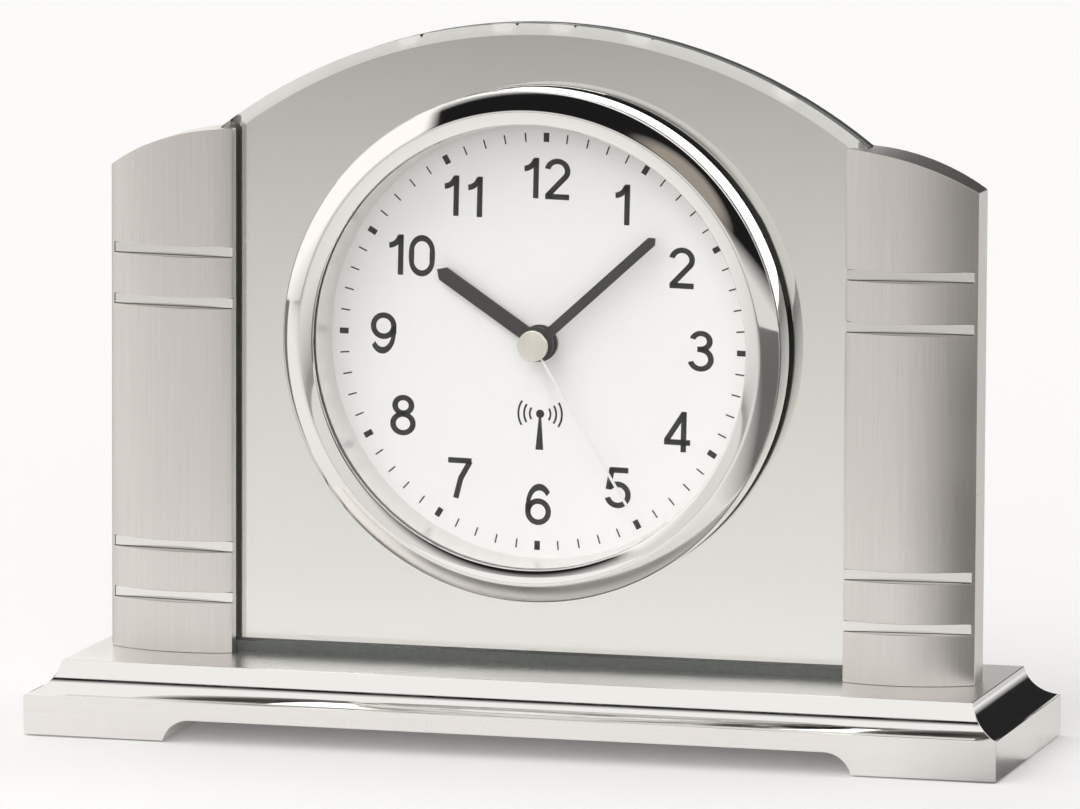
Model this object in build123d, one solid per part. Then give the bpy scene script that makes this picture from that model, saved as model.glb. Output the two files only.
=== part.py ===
from build123d import *
import os
from math import acos, atan2, cos, degrees, pi, radians, sin, sqrt

# Mantel clock: a coved aluminium plinth, two curved aluminium columns and a bevelled mirror glass
# that carries a chromed bezel, a recessed dial and a radio-controlled quartz movement behind it.
# Millimetres. X to the right, Y to the back, Z up, origin on the table under the middle.

# Overall size
WIDTH = 270.0
DEPTH = 81.0
PLINTH_TOP = 20.0
PAD_STAND_OFF = 0.4

# Plinth: slab, cove up to the top plate, and a relief that leaves two feet
SLAB_TOP = 11.3
COVE_INSET = 8.5
COVE_RADIUS = 11.0
FOOT_INNER_X = 95.5
FOOT_HEIGHT = 6.2
FOOT_RADIUS = 7.6
PLINTH_EDGE_BREAK = 0.35
PAD_RADIUS = 5.0
PAD_THICKNESS = 1.2
PAD_X = 125.0
PAD_Y = 30.0

# Columns: curved front, flat back, a slot for the glass on the inner side
COLUMN_INNER_X = 85.5
COLUMN_OUTER_X = 121.0
COLUMN_FRONT_INNER_Y = -8.7
COLUMN_FRONT_OUTER_Y = -4.9
COLUMN_BACK_Y = 5.3
COLUMN_BULGE = 4.5
COLUMN_TOP_INNER = 163.7
COLUMN_TOP_OUTER = 152.7
COLUMN_EDGE_BREAK = 0.45
BAND_HEIGHT = 2.6
BAND_BASES = (34.0, 48.0, 114.8, 128.8)
BAND_THICKNESS = 1.2
BAND_END_GAP = 1.0
BAND_SHADOW_GAP = 0.15

# Column screws from under the feet
SCREW_X = (101.5, 114.0)
SCREW_Y = -2.0
SCREW_RADIUS = 2.0
SCREW_HEAD_RADIUS = 3.5
SCREW_HEAD_HEIGHT = 2.6
SCREW_HEAD_SEAT = 9.0
SCREW_TIP = 33.0
COUNTERBORE_RADIUS = 4.0
SOCKET_FLATS = 3.0

# Bevelled glass with silvering and a backing board behind it
GLASS_HALF_WIDTH = 90.0
GLASS_TOP = 194.4
ARCH_RADIUS = 148.0
GLASS_FRONT_Y = -4.8
GLASS_THICKNESS = 4.5
BEVEL_WIDTH = 3.0
BEVEL_DEPTH = 1.0
SILVER_THICKNESS = 0.15
BOARD_BACK_Y = 2.7
SLOT_CLEARANCE = 0.1
GLASS_HOLE_RADIUS = 66.5

# Dial unit, on an axis through the glass
AXIS_Z = 108.05
BEZEL_FRONT_Y = -18.2
BEZEL_OUTER_RADIUS = 69.4
BEZEL_SHOULDER_Y = -15.0
BEZEL_RIDGE_RADIUS = 64.1
BEZEL_LIP_RADIUS = 60.15
BEZEL_LIP_Y = -17.2
BEZEL_BORE_RADIUS = 62.2
GASKET_THICKNESS = 0.3
BOSS_RADIUS = 2.0
BOSS_CENTRE_RADIUS = 64.25
BOSS_END_Y = 2.5
BOSS_ANGLES = (45.0, 135.0, 225.0, 315.0)
CRYSTAL_RADIUS = 62.0
CRYSTAL_FRONT_Y = -15.95
CRYSTAL_BACK_Y = -13.95
REFLECTOR_FRONT_RADIUS = 60.1
REFLECTOR_DIAL_RADIUS = 59.1
DIAL_FRONT_Y = -2.2
DIAL_BACK_Y = -1.4
DIAL_HOLE_RADIUS = 4.1

# Rear housing and its screws
HOUSING_FLANGE_RADIUS = 72.0
HOUSING_FLANGE_Y = (2.8, 5.0)
HOUSING_TUBE_RADIUS = 61.8
HOUSING_BORE_RADIUS = 59.6
HOUSING_BACK_RADIUS = 57.0
HOUSING_FLOOR_Y = (10.4, 12.0)
HOUSING_SCREW_RADIUS = 1.25
HOUSING_SCREW_HEAD_RADIUS = 2.5
HOUSING_SCREW_HEAD_HEIGHT = 1.6
HOUSING_SCREW_START_Y = -3.0

# Movement case, centred on the axis in X
CASE_HALF_WIDTH = 29.0
CASE_BOTTOM = -38.5
CASE_TOP = 28.5
CASE_FRONT_Y = -0.9
CASE_FLOOR_Y = 0.5
CASE_SPLIT_Y = 9.0
CASE_BACK_Y = 17.0
CASE_WALL = 1.2
BAY_TOP = -20.4
GEAR_ROOM_BOTTOM = -19.2
NECK_RADIUS = 4.0
NECK_BORE_RADIUS = 2.55
NECK_END_Y = -3.9
NUT_RADIUS = 4.9
NUT_FRONT_Y = -3.6
WASHER_RADIUS = 12.0
RUNNING_CLEARANCE = 0.05
COVER_THICKNESS = 1.2
COVER_TONGUE = 0.6
COVER_GAP = 0.2

# Battery, AA size, lying across the bottom of the movement
CELL_RADIUS = 7.1
CELL_LENGTH = 49.0
CELL_NUB_RADIUS = 2.7
CELL_NUB_LENGTH = 1.4
CELL_Z = -29.0
CELL_Y = 8.4
CONTACT_THICKNESS = 0.4
CONTACT_Y = (2.0, 14.0)
CONTACT_Z = (CELL_Z - 5.0, CELL_Z + 5.0)

# Hands: angle clockwise from twelve, and distances along the axis
HOUR_ANGLE = 303.7
MINUTE_ANGLE = 47.7
SECOND_ANGLE = 148.3
HOUR_LENGTH = 34.4
HOUR_WIDTH = 4.0
MINUTE_LENGTH = 44.4
MINUTE_WIDTH = 2.7
SECOND_LENGTH = 50.5
SECOND_ROOT_WIDTH = 0.45
SECOND_TIP_WIDTH = 0.8
HAND_THICKNESS = 0.6
HOUR_HAND_Y = -5.2
MINUTE_HAND_Y = -7.8
SECOND_HAND_Y = -11.0
SECOND_HAND_THICKNESS = 0.3
CAP_FRONT_Y = -12.0
CAP_RADIUS = 4.2
HOUR_HUB_RADIUS = 5.0
MINUTE_HUB_RADIUS = 4.7
HUB_DEPTH = 1.0
HOUR_PIPE_RADIUS = 2.5
MINUTE_PIPE_RADIUS = 1.75
SECOND_ARBOR_RADIUS = 0.5
ARBOR_RADIUS = 0.4

# Gear train. Modules in mm; teeth carry generous backlash, as moulded clock gears do.
COARSE_MODULE = 0.3
FINE_MODULE = 0.2
HOUR_TEETH = 32
WORK_PINION_TEETH = 8
WORK_TEETH = 30
CANNON_TEETH = 10
MINUTE_TEETH = 60
MINUTE_IDLER_PINION_TEETH = 8
MINUTE_IDLER_TEETH = 56
MINUTE_ROTOR_TEETH = 7
SECOND_TEETH = 60
SECOND_IDLER_PINION_TEETH = 10
SECOND_IDLER_TEETH = 40
SECOND_ROTOR_TEETH = 8
MAGNET_RADIUS = 2.6
BRIDGE_Y = (7.4, 8.4)
BRIDGE_X = (-26.0, 19.0)
BRIDGE_TOP = 17.5
BRIDGE_PILLARS = ((-24.0, 14.0), (-24.0, -15.0), (3.0, -16.0))
BRIDGE_PILLAR_RADIUS = 1.5
ARBOR_END_Y = 8.2
PIVOT_START_Y = -0.3

# Depth layers of the train, front and back of each gear face
HOUR_WHEEL_Y = (1.0, 1.8)
CANNON_Y = (1.95, 3.0)
MINUTE_WHEEL_Y = (3.0, 3.6)
SECOND_WHEEL_Y = (4.5, 5.1)
SECOND_HUB_Y = (4.2, 6.0)
SECOND_HUB_RADIUS = 1.2
WORK_PINION_Y = (0.9, 2.15)
WORK_WHEEL_Y = (2.15, 2.75)
WORK_POST_RADIUS = 0.5
MINUTE_PINION_Y = (2.9, 3.8)
MINUTE_IDLER_Y = (3.8, 4.2)
MINUTE_ROTOR_Y = (3.7, 4.6)
MINUTE_MAGNET_Y = (4.6, 7.0)
SECOND_PINION_Y = (4.4, 5.4)
SECOND_IDLER_Y = (5.4, 5.8)
SECOND_ROTOR_Y = (5.2, 6.0)
SECOND_MAGNET_Y = (2.2, 4.6)

# Electronics and buttons
BOARD_Y = (9.6, 10.6)
BOARD_HALF_WIDTH = 26.0
BOARD_TOP = 16.0
SWITCH_HEIGHT = 0.7
SWITCH_HALF = 2.0
BUTTON_PLACES = {
    "set_button": (-18.0, 6.0),
    "signal_button": (-6.0, 6.0),
    "reset_button": (6.0, 6.0),
}
BUTTON_RADIUS = 2.2
BUTTON_TIP_Y = 18.2
BUTTON_FLANGE_RADIUS = 2.9
STEM_RADIUS = 1.2
BUTTON_TRAVEL = 0.6
ROD_RADIUS = 3.5
ROD_LENGTH = 50.0
ROD_Z = 22.5
ROD_Y = 9.0
ROD_COIL_RADIUS = 4.3
ROD_COIL_LENGTH = 24.0
MOTOR_COIL_RADIUS = 2.35
MOTOR_COIL_X = 22.0
MOTOR_COIL_LENGTH = 12.0
STATOR_INNER_X = 7.2
STATOR_THICKNESS = 0.8
STATOR_END = 2.0


def axis_plane(y, x=0.0, z=0.0):
    """Plane across the dial axis at depth y, offset by x and z, looking out of the front."""
    return Plane(origin=(x, y, AXIS_Z + z), x_dir=(1, 0, 0), z_dir=(0, -1, 0))


def disc(radius, front, back, x=0.0, z=0.0):
    """Solid round bar along the dial axis from front to back."""
    return extrude(axis_plane(back, x, z) * Circle(radius), back - front)


def ring(outer, inner, front, back, x=0.0, z=0.0):
    """Round tube along the dial axis."""
    return extrude(axis_plane(back, x, z) * (Circle(outer) - Circle(inner)), back - front)


def block(x_range, y_range, z_range):
    """Box between two corners, with z measured from the dial axis."""
    size = [high - low for low, high in (x_range, y_range, z_range)]
    middle = [(high + low) / 2 for low, high in (x_range, y_range, z_range)]
    return Pos(middle[0], middle[1], AXIS_Z + middle[2]) * Box(*size)


def turned(points):
    """Solid of revolution about the dial axis from (radius, y) corners."""
    section_plane = Plane((0, 0, AXIS_Z), x_dir=(1, 0, 0), z_dir=(0, 0, 1))
    section = section_plane * make_face(Polyline(*points, close=True))
    return revolve(section, Axis((0, 0, AXIS_Z), (0, 1, 0)), 360)


def polar(radius, clock_angle):
    """X and Z of a point at a clock angle, clockwise from twelve as seen from the front."""
    return radius * sin(radians(clock_angle)), radius * cos(radians(clock_angle))


def gear(teeth, module, front, back, centre, tooth_at):
    """Toothed wheel with a tooth centred on the direction tooth_at, in degrees from +X."""
    pitch = 2 * pi / teeth
    pitch_radius = teeth * module / 2
    root = pitch_radius - 1.2 * module
    tip = pitch_radius + 0.75 * module
    corners = []
    for index in range(teeth):
        middle = radians(tooth_at) + index * pitch
        for radius, part in ((root, -0.27), (tip, -0.09), (tip, 0.09), (root, 0.27)):
            angle = middle + part * pitch
            corners.append((radius * cos(angle), radius * sin(angle)))
    outline = make_face(Polyline(*corners, close=True))
    return extrude(axis_plane(back, *centre) * outline, back - front)


def direction(start, end):
    """Angle in degrees from one centre to another."""
    return degrees(atan2(end[1] - start[1], end[0] - start[0]))


def facing_gap(teeth, angle):
    """Phase that puts a gap between teeth at the given direction."""
    return angle + 180.0 / teeth


def step_from(start, distance, angle):
    """Centre at a distance and angle from another centre."""
    return start[0] + distance * cos(radians(angle)), start[1] + distance * sin(radians(angle))


# ---------------------------------------------------------------- plinth

def cove_corner_points(half_length):
    """Outline half: from the slab's top edge, in along the concave cove, to the top plate."""
    start = (half_length, SLAB_TOP)
    end = (half_length - COVE_INSET, PLINTH_TOP)
    return start, end


def plinth_outline(half_length, underside):
    """Closed outline of the plinth across one direction, with coves at both ends."""
    start, end = cove_corner_points(half_length)
    right_cove = RadiusArc(start, end, COVE_RADIUS)
    left_cove = RadiusArc((-end[0], end[1]), (-start[0], start[1]), COVE_RADIUS)
    top = Line(end, (-end[0], end[1]))
    left = Line((-start[0], start[1]), (-half_length, PAD_STAND_OFF))
    right = Line((half_length, PAD_STAND_OFF), start)
    return make_face([right, right_cove, top, left_cove, left] + underside)


def plinth():
    relief_rise = FOOT_HEIGHT - PAD_STAND_OFF
    relief_run = FOOT_RADIUS * sin(acos((FOOT_RADIUS - relief_rise) / FOOT_RADIUS))
    foot = (FOOT_INNER_X, PAD_STAND_OFF)
    crown = (FOOT_INNER_X - relief_run, FOOT_HEIGHT)
    long_underside = [
        Line((-WIDTH / 2, PAD_STAND_OFF), (-foot[0], foot[1])),
        RadiusArc((-foot[0], foot[1]), (-crown[0], crown[1]), FOOT_RADIUS),
        Line((-crown[0], crown[1]), crown),
        RadiusArc(crown, foot, FOOT_RADIUS),
        Line(foot, (WIDTH / 2, PAD_STAND_OFF)),
    ]
    short_underside = [Line((-DEPTH / 2, PAD_STAND_OFF), (DEPTH / 2, PAD_STAND_OFF))]
    front_view = Plane((0, DEPTH / 2, 0), x_dir=(1, 0, 0), z_dir=(0, -1, 0))
    side_view = Plane((-WIDTH / 2, 0, 0), x_dir=(0, 1, 0), z_dir=(1, 0, 0))
    long_bar = extrude(front_view * plinth_outline(WIDTH / 2, long_underside), DEPTH)
    short_bar = extrude(side_view * plinth_outline(DEPTH / 2, short_underside), WIDTH)
    body = long_bar & short_bar
    corners = body.edges().filter_by(Axis.Z).filter_by(lambda edge: edge.length > SLAB_TOP / 2)
    body = chamfer(corners, PLINTH_EDGE_BREAK)
    for x in (-PAD_X, PAD_X):
        for y in (-PAD_Y, PAD_Y):
            body -= Pos(x, y, PAD_THICKNESS / 2) * Cylinder(PAD_RADIUS, PAD_THICKNESS)
    for x in screw_places():
        body -= Pos(x, SCREW_Y, PLINTH_TOP / 2) * Cylinder(SCREW_RADIUS + 0.2, PLINTH_TOP)
        body -= Pos(x, SCREW_Y, SCREW_HEAD_SEAT / 2) * Cylinder(COUNTERBORE_RADIUS, SCREW_HEAD_SEAT)
    return body


def foot_pads():
    pads = []
    for x in (-PAD_X, PAD_X):
        for y in (-PAD_Y, PAD_Y):
            pad = Pos(x, y, PAD_THICKNESS / 2) * Cylinder(PAD_RADIUS - 0.1, PAD_THICKNESS)
            pads.append(pad)
    return Compound(pads)


def screw_places():
    return [side * x for side in (-1, 1) for x in SCREW_X]


def column_screws():
    screws = []
    for x in screw_places():
        head_middle = SCREW_HEAD_SEAT - SCREW_HEAD_HEIGHT / 2
        shank_length = SCREW_TIP - SCREW_HEAD_SEAT
        head = Pos(x, SCREW_Y, head_middle) * Cylinder(SCREW_HEAD_RADIUS, SCREW_HEAD_HEIGHT)
        shank = Pos(x, SCREW_Y, SCREW_HEAD_SEAT + shank_length / 2) * Cylinder(SCREW_RADIUS, shank_length)
        socket_plane = Plane((x, SCREW_Y, SCREW_HEAD_SEAT - SCREW_HEAD_HEIGHT))
        socket = extrude(socket_plane * RegularPolygon(SOCKET_FLATS / sqrt(3), 6), SCREW_HEAD_HEIGHT * 0.6)
        screws.append(head + shank - socket)
    return Compound(screws)


# ---------------------------------------------------------------- columns

def column_chord_y(x):
    """Depth of the flat that joins a column's two front edges."""
    share = (x - COLUMN_INNER_X) / (COLUMN_OUTER_X - COLUMN_INNER_X)
    return COLUMN_FRONT_INNER_Y + share * (COLUMN_FRONT_OUTER_Y - COLUMN_FRONT_INNER_Y)


def right_column():
    inner_front = (COLUMN_INNER_X, COLUMN_FRONT_INNER_Y)
    outer_front = (COLUMN_OUTER_X, COLUMN_FRONT_OUTER_Y)
    outer_back = (COLUMN_OUTER_X, COLUMN_BACK_Y)
    inner_back = (COLUMN_INNER_X, COLUMN_BACK_Y)
    front = SagittaArc(inner_front, outer_front, -COLUMN_BULGE)
    sides = Polyline(outer_front, outer_back, inner_back, inner_front)
    plan = make_face([front, sides])
    bar = extrude(Pos(0, 0, PLINTH_TOP) * plan, COLUMN_TOP_INNER - PLINTH_TOP)

    run = COLUMN_OUTER_X - COLUMN_INNER_X
    drop = COLUMN_TOP_INNER - COLUMN_TOP_OUTER
    crown_radius = (run * run + drop * drop) / (2 * drop)
    crown_plane = Plane((0, 30, 0), x_dir=(1, 0, 0), z_dir=(0, -1, 0))
    crown_centre = (COLUMN_INNER_X, COLUMN_TOP_INNER - crown_radius)
    crown = extrude(crown_plane * Pos(*crown_centre) * Circle(crown_radius), 60)
    lower = Pos(COLUMN_INNER_X + run / 2, 0, 70) * Box(run + 20, 60, 140)
    bar = bar & (crown + lower)
    top_edges = bar.faces().filter_by(GeomType.CYLINDER).sort_by(Axis.Z)[-1].edges()
    bar = chamfer(top_edges, COLUMN_EDGE_BREAK)

    slot_depth = GLASS_HALF_WIDTH + SLOT_CLEARANCE - COLUMN_INNER_X
    slot_front = GLASS_FRONT_Y - SLOT_CLEARANCE
    slot_back = BOARD_BACK_Y + SLOT_CLEARANCE
    slot = Box(slot_depth, slot_back - slot_front, 200, align=(Align.MIN, Align.MIN, Align.MIN))
    bar -= Pos(COLUMN_INNER_X, slot_front, PLINTH_TOP) * slot
    for base in BAND_BASES:
        bar -= groove_cut(base)
    for x in SCREW_X:
        depth = SCREW_TIP + 1 - PLINTH_TOP
        bar -= Pos(x, SCREW_Y, PLINTH_TOP + depth / 2) * Cylinder(SCREW_RADIUS + 0.02, depth)
    return bar


def strip_outline(start_x, end_x, front_offset, back_offset):
    """Plan of a strip that follows the column's chord between two x positions."""
    return Polyline(
        (start_x, column_chord_y(start_x) + front_offset),
        (end_x, column_chord_y(end_x) + front_offset),
        (end_x, column_chord_y(end_x) + back_offset),
        (start_x, column_chord_y(start_x) + back_offset),
        close=True,
    )


def groove_cut(base):
    """Flat-bottomed groove across the curved front for one band."""
    outline = strip_outline(COLUMN_INNER_X - 1, COLUMN_OUTER_X - BAND_END_GAP, -20, BAND_THICKNESS)
    height = BAND_HEIGHT + 2 * BAND_SHADOW_GAP
    return extrude(Pos(0, 0, base - BAND_SHADOW_GAP) * make_face(outline), height)


def right_bands():
    bands = []
    for base in BAND_BASES:
        outline = strip_outline(COLUMN_INNER_X, COLUMN_OUTER_X - BAND_END_GAP - 0.1, 0, BAND_THICKNESS)
        bands.append(extrude(Pos(0, 0, base) * make_face(outline), BAND_HEIGHT))
    return Compound(bands)


# ---------------------------------------------------------------- glass

def glass_face(inset):
    """Arched outline of the glass, moved in by inset all round."""
    half = GLASS_HALF_WIDTH - inset
    radius = ARCH_RADIUS - inset
    bottom = PLINTH_TOP + inset
    centre_z = GLASS_TOP - ARCH_RADIUS
    shoulder = centre_z + sqrt(radius * radius - half * half)
    sides = Polyline((-half, shoulder), (-half, bottom), (half, bottom), (half, shoulder))
    arch = ThreePointArc((half, shoulder), (0, centre_z + radius), (-half, shoulder))
    return make_face([sides, arch])


def arched_plate(front, back):
    plane = Plane((0, back, 0), x_dir=(1, 0, 0), z_dir=(0, -1, 0))
    plate = extrude(plane * glass_face(0), back - front)
    return plate - disc(GLASS_HOLE_RADIUS, front - 1, back + 1)


def glass_panel():
    back = GLASS_FRONT_Y + GLASS_THICKNESS
    land = GLASS_FRONT_Y + BEVEL_DEPTH
    outer_plane = Plane((0, land, 0), x_dir=(1, 0, 0), z_dir=(0, -1, 0))
    inner_plane = Plane((0, GLASS_FRONT_Y, 0), x_dir=(1, 0, 0), z_dir=(0, -1, 0))
    slab = extrude(Plane((0, back, 0), x_dir=(1, 0, 0), z_dir=(0, -1, 0)) * glass_face(0), back - land)
    bevel = loft([outer_plane * glass_face(0), inner_plane * glass_face(BEVEL_WIDTH)], ruled=True)
    return slab + bevel - disc(GLASS_HOLE_RADIUS, GLASS_FRONT_Y - 1, back + 1)


# ---------------------------------------------------------------- dial unit

def boss_places():
    return [polar(BOSS_CENTRE_RADIUS, angle) for angle in BOSS_ANGLES]


def bezel_ring():
    seat = GLASS_FRONT_Y - GASKET_THICKNESS
    body = turned([
        (BEZEL_LIP_RADIUS, BEZEL_LIP_Y),
        (BEZEL_RIDGE_RADIUS, BEZEL_FRONT_Y),
        (BEZEL_OUTER_RADIUS - 0.5, BEZEL_SHOULDER_Y - 0.3),
        (BEZEL_OUTER_RADIUS, BEZEL_SHOULDER_Y + 0.3),
        (BEZEL_OUTER_RADIUS, seat),
        (BEZEL_BORE_RADIUS, seat),
        (BEZEL_BORE_RADIUS, CRYSTAL_FRONT_Y - 0.05),
        (BEZEL_LIP_RADIUS, CRYSTAL_FRONT_Y - 0.05),
    ])
    for x, z in boss_places():
        body += disc(BOSS_RADIUS, seat - 1, BOSS_END_Y, x, z)
    for x, z in boss_places():
        body -= disc(HOUSING_SCREW_RADIUS + 0.02, HOUSING_SCREW_START_Y - 0.5, BOSS_END_Y + 1, x, z)
    return body


def bezel_gasket():
    front = GLASS_FRONT_Y - GASKET_THICKNESS
    return ring(BEZEL_OUTER_RADIUS - 0.3, GLASS_HOLE_RADIUS + 0.1, front, GLASS_FRONT_Y)


def crystal():
    edge_break = 0.3
    return turned([
        (0, CRYSTAL_FRONT_Y),
        (CRYSTAL_RADIUS - edge_break, CRYSTAL_FRONT_Y),
        (CRYSTAL_RADIUS, CRYSTAL_FRONT_Y + edge_break),
        (CRYSTAL_RADIUS, CRYSTAL_BACK_Y),
        (0, CRYSTAL_BACK_Y),
    ])


def reflector_ring():
    return turned([
        (REFLECTOR_FRONT_RADIUS, CRYSTAL_BACK_Y),
        (CRYSTAL_RADIUS, CRYSTAL_BACK_Y),
        (CRYSTAL_RADIUS, DIAL_FRONT_Y),
        (REFLECTOR_DIAL_RADIUS, DIAL_FRONT_Y),
    ])


def dial():
    return ring(CRYSTAL_RADIUS - 0.1, DIAL_HOLE_RADIUS, DIAL_FRONT_Y, DIAL_BACK_Y)


def rear_housing():
    wall = 1.8
    flange_front, flange_back = HOUSING_FLANGE_Y
    floor_front, floor_back = HOUSING_FLOOR_Y
    body = turned([
        (HOUSING_BORE_RADIUS, DIAL_BACK_Y),
        (HOUSING_TUBE_RADIUS, DIAL_BACK_Y),
        (HOUSING_TUBE_RADIUS, flange_front),
        (HOUSING_FLANGE_RADIUS - 0.6, flange_front),
        (HOUSING_FLANGE_RADIUS, flange_front + 0.6),
        (HOUSING_FLANGE_RADIUS, flange_back - 0.6),
        (HOUSING_FLANGE_RADIUS - 0.6, flange_back),
        (HOUSING_TUBE_RADIUS - 0.5, flange_back),
        (HOUSING_BACK_RADIUS, floor_back - 1.0),
        (HOUSING_BACK_RADIUS - 1.0, floor_back),
        (0, floor_back),
        (0, floor_front),
        (HOUSING_BACK_RADIUS - wall, floor_front),
        (HOUSING_BORE_RADIUS, flange_back),
    ])
    gap = 0.5
    case_x = (-CASE_HALF_WIDTH - gap, CASE_HALF_WIDTH + gap)
    body -= block(case_x, (floor_front - 1, floor_back + 1), (CASE_BOTTOM - gap, CASE_TOP + gap))
    for x, z in boss_places():
        body -= disc(HOUSING_SCREW_RADIUS + 0.2, flange_front - 1, flange_back + 1, x, z)
    return body


def housing_screws():
    screws = []
    for x, z in boss_places():
        head_front = HOUSING_FLANGE_Y[1]
        head_back = head_front + HOUSING_SCREW_HEAD_HEIGHT
        shank = disc(HOUSING_SCREW_RADIUS, HOUSING_SCREW_START_Y, head_front, x, z)
        head = disc(HOUSING_SCREW_HEAD_RADIUS, head_front, head_back, x, z)
        head = chamfer(head.edges().sort_by(Axis.Y)[-1], 0.4)
        slots = [
            block((x - 1.4, x + 1.4), (head_back - 0.9, head_back + 1), (z - 0.3, z + 0.3)),
            block((x - 0.3, x + 0.3), (head_back - 0.9, head_back + 1), (z - 1.4, z + 1.4)),
        ]
        screws.append(shank + head - slots[0] - slots[1])
    return Compound(screws)


# ---------------------------------------------------------------- gear centres

CENTRE = (0.0, 0.0)
WORK_CENTRE = step_from(CENTRE, (HOUR_TEETH + WORK_PINION_TEETH) * COARSE_MODULE / 2, 135.0)
MINUTE_IDLER_REACH = (MINUTE_TEETH + MINUTE_IDLER_PINION_TEETH) * FINE_MODULE / 2
MINUTE_IDLER_CENTRE = step_from(CENTRE, MINUTE_IDLER_REACH, 50.0)
MINUTE_ROTOR_CENTRE = step_from(
    MINUTE_IDLER_CENTRE, (MINUTE_IDLER_TEETH + MINUTE_ROTOR_TEETH) * FINE_MODULE / 2, 20.0)
SECOND_IDLER_REACH = (SECOND_TEETH + SECOND_IDLER_PINION_TEETH) * FINE_MODULE / 2
SECOND_IDLER_CENTRE = step_from(CENTRE, SECOND_IDLER_REACH, -45.0)
SECOND_ROTOR_CENTRE = step_from(
    SECOND_IDLER_CENTRE, (SECOND_IDLER_TEETH + SECOND_ROTOR_TEETH) * FINE_MODULE / 2, 0.0)
LOOSE_ARBORS = (MINUTE_IDLER_CENTRE, MINUTE_ROTOR_CENTRE, SECOND_IDLER_CENTRE, SECOND_ROTOR_CENTRE)


def arbor(centre):
    return disc(ARBOR_RADIUS, PIVOT_START_Y, ARBOR_END_Y, *centre)


# ---------------------------------------------------------------- movement

def movement_front_case():
    x_range = (-CASE_HALF_WIDTH, CASE_HALF_WIDTH)
    inner_x = (-CASE_HALF_WIDTH + CASE_WALL, CASE_HALF_WIDTH - CASE_WALL)
    body = block(x_range, (CASE_FRONT_Y, CASE_SPLIT_Y), (CASE_BOTTOM, CASE_TOP))
    room_y = (CASE_FLOOR_Y, CASE_SPLIT_Y + 1)
    body -= block(inner_x, room_y, (GEAR_ROOM_BOTTOM, CASE_TOP - CASE_WALL))
    body -= block(inner_x, room_y, (CASE_BOTTOM + CASE_WALL, BAY_TOP))
    body += disc(NECK_RADIUS, NECK_END_Y, CASE_FLOOR_Y)
    body -= disc(NECK_BORE_RADIUS, NECK_END_Y - 1, CASE_FLOOR_Y + 1)
    body += disc(0.45, CASE_FLOOR_Y - 0.2, 2.9, *WORK_CENTRE)
    for centre in LOOSE_ARBORS:
        body -= disc(ARBOR_RADIUS + RUNNING_CLEARANCE, PIVOT_START_Y - 0.1, CASE_FLOOR_Y + 1, *centre)
    return body


def movement_back_case():
    x_range = (-CASE_HALF_WIDTH, CASE_HALF_WIDTH)
    inner_x = (-CASE_HALF_WIDTH + CASE_WALL, CASE_HALF_WIDTH - CASE_WALL)
    body = block(x_range, (CASE_SPLIT_Y, CASE_BACK_Y), (CASE_BOTTOM, CASE_TOP))
    inner_y = (CASE_SPLIT_Y - 1, CASE_BACK_Y - CASE_WALL)
    body -= block(inner_x, inner_y, (GEAR_ROOM_BOTTOM, CASE_TOP - CASE_WALL))
    body -= block(inner_x, (CASE_SPLIT_Y - 1, CASE_BACK_Y + 1), (CASE_BOTTOM + CASE_WALL, BAY_TOP))
    cover_front = CASE_BACK_Y - COVER_THICKNESS
    tongue_x = CASE_HALF_WIDTH - CASE_WALL + COVER_TONGUE
    groove_y = (cover_front - COVER_GAP / 2, cover_front + COVER_TONGUE + COVER_GAP / 2)
    body -= block((-tongue_x, tongue_x), groove_y, (CASE_BOTTOM - 1, BAY_TOP))
    body -= block(inner_x, (groove_y[0], CASE_BACK_Y + 1), (CASE_BOTTOM - 1, CASE_BOTTOM + CASE_WALL + 1))
    for place in BUTTON_PLACES.values():
        body -= disc(BUTTON_RADIUS + 0.1, CASE_BACK_Y - CASE_WALL - 1, CASE_BACK_Y + 1, *place)
    return body


def battery_cover():
    front = CASE_BACK_Y - COVER_THICKNESS
    half = CASE_HALF_WIDTH - CASE_WALL - COVER_GAP
    z_range = (CASE_BOTTOM, BAY_TOP - COVER_GAP)
    plate = block((-half, half), (front, CASE_BACK_Y), z_range)
    tongue = half + COVER_TONGUE
    plate += block((-tongue, tongue), (front, front + COVER_TONGUE), z_range)
    for index in range(4):
        z = CASE_BOTTOM + 4.0 + index * 2.0
        plate += block((-7, 7), (CASE_BACK_Y - 0.1, CASE_BACK_Y + 0.6), (z - 0.4, z + 0.4))
    return plate


def movement_nut():
    body = ring(NUT_RADIUS, NECK_RADIUS, NUT_FRONT_Y, DIAL_FRONT_Y)
    for index in range(4):
        x, z = polar(NUT_RADIUS, 45 + 90 * index)
        body -= disc(0.6, NUT_FRONT_Y - 1, DIAL_FRONT_Y + 1, x, z)
    return body


def movement_washer():
    return ring(WASHER_RADIUS, NECK_RADIUS + 0.1, DIAL_BACK_Y, CASE_FRONT_Y)


def battery_cell():
    end = CELL_LENGTH / 2
    cell_plane = Plane((-end, CELL_Y, AXIS_Z + CELL_Z), x_dir=(0, 1, 0), z_dir=(1, 0, 0))
    can = extrude(cell_plane * Circle(CELL_RADIUS), CELL_LENGTH)
    can = chamfer(can.edges().filter_by(GeomType.CIRCLE), 0.5)
    nub_plane = cell_plane.offset(CELL_LENGTH)
    return can + extrude(nub_plane * Circle(CELL_NUB_RADIUS), CELL_NUB_LENGTH)


def contact_positive():
    start = CELL_LENGTH / 2 + CELL_NUB_LENGTH
    wall = CASE_HALF_WIDTH - CASE_WALL
    plate = block((wall - CONTACT_THICKNESS, wall), CONTACT_Y, CONTACT_Z)
    dimple = block((start, wall - CONTACT_THICKNESS), (CELL_Y - 2, CELL_Y + 2), (CELL_Z - 3, CELL_Z + 3))
    return plate + dimple


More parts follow.
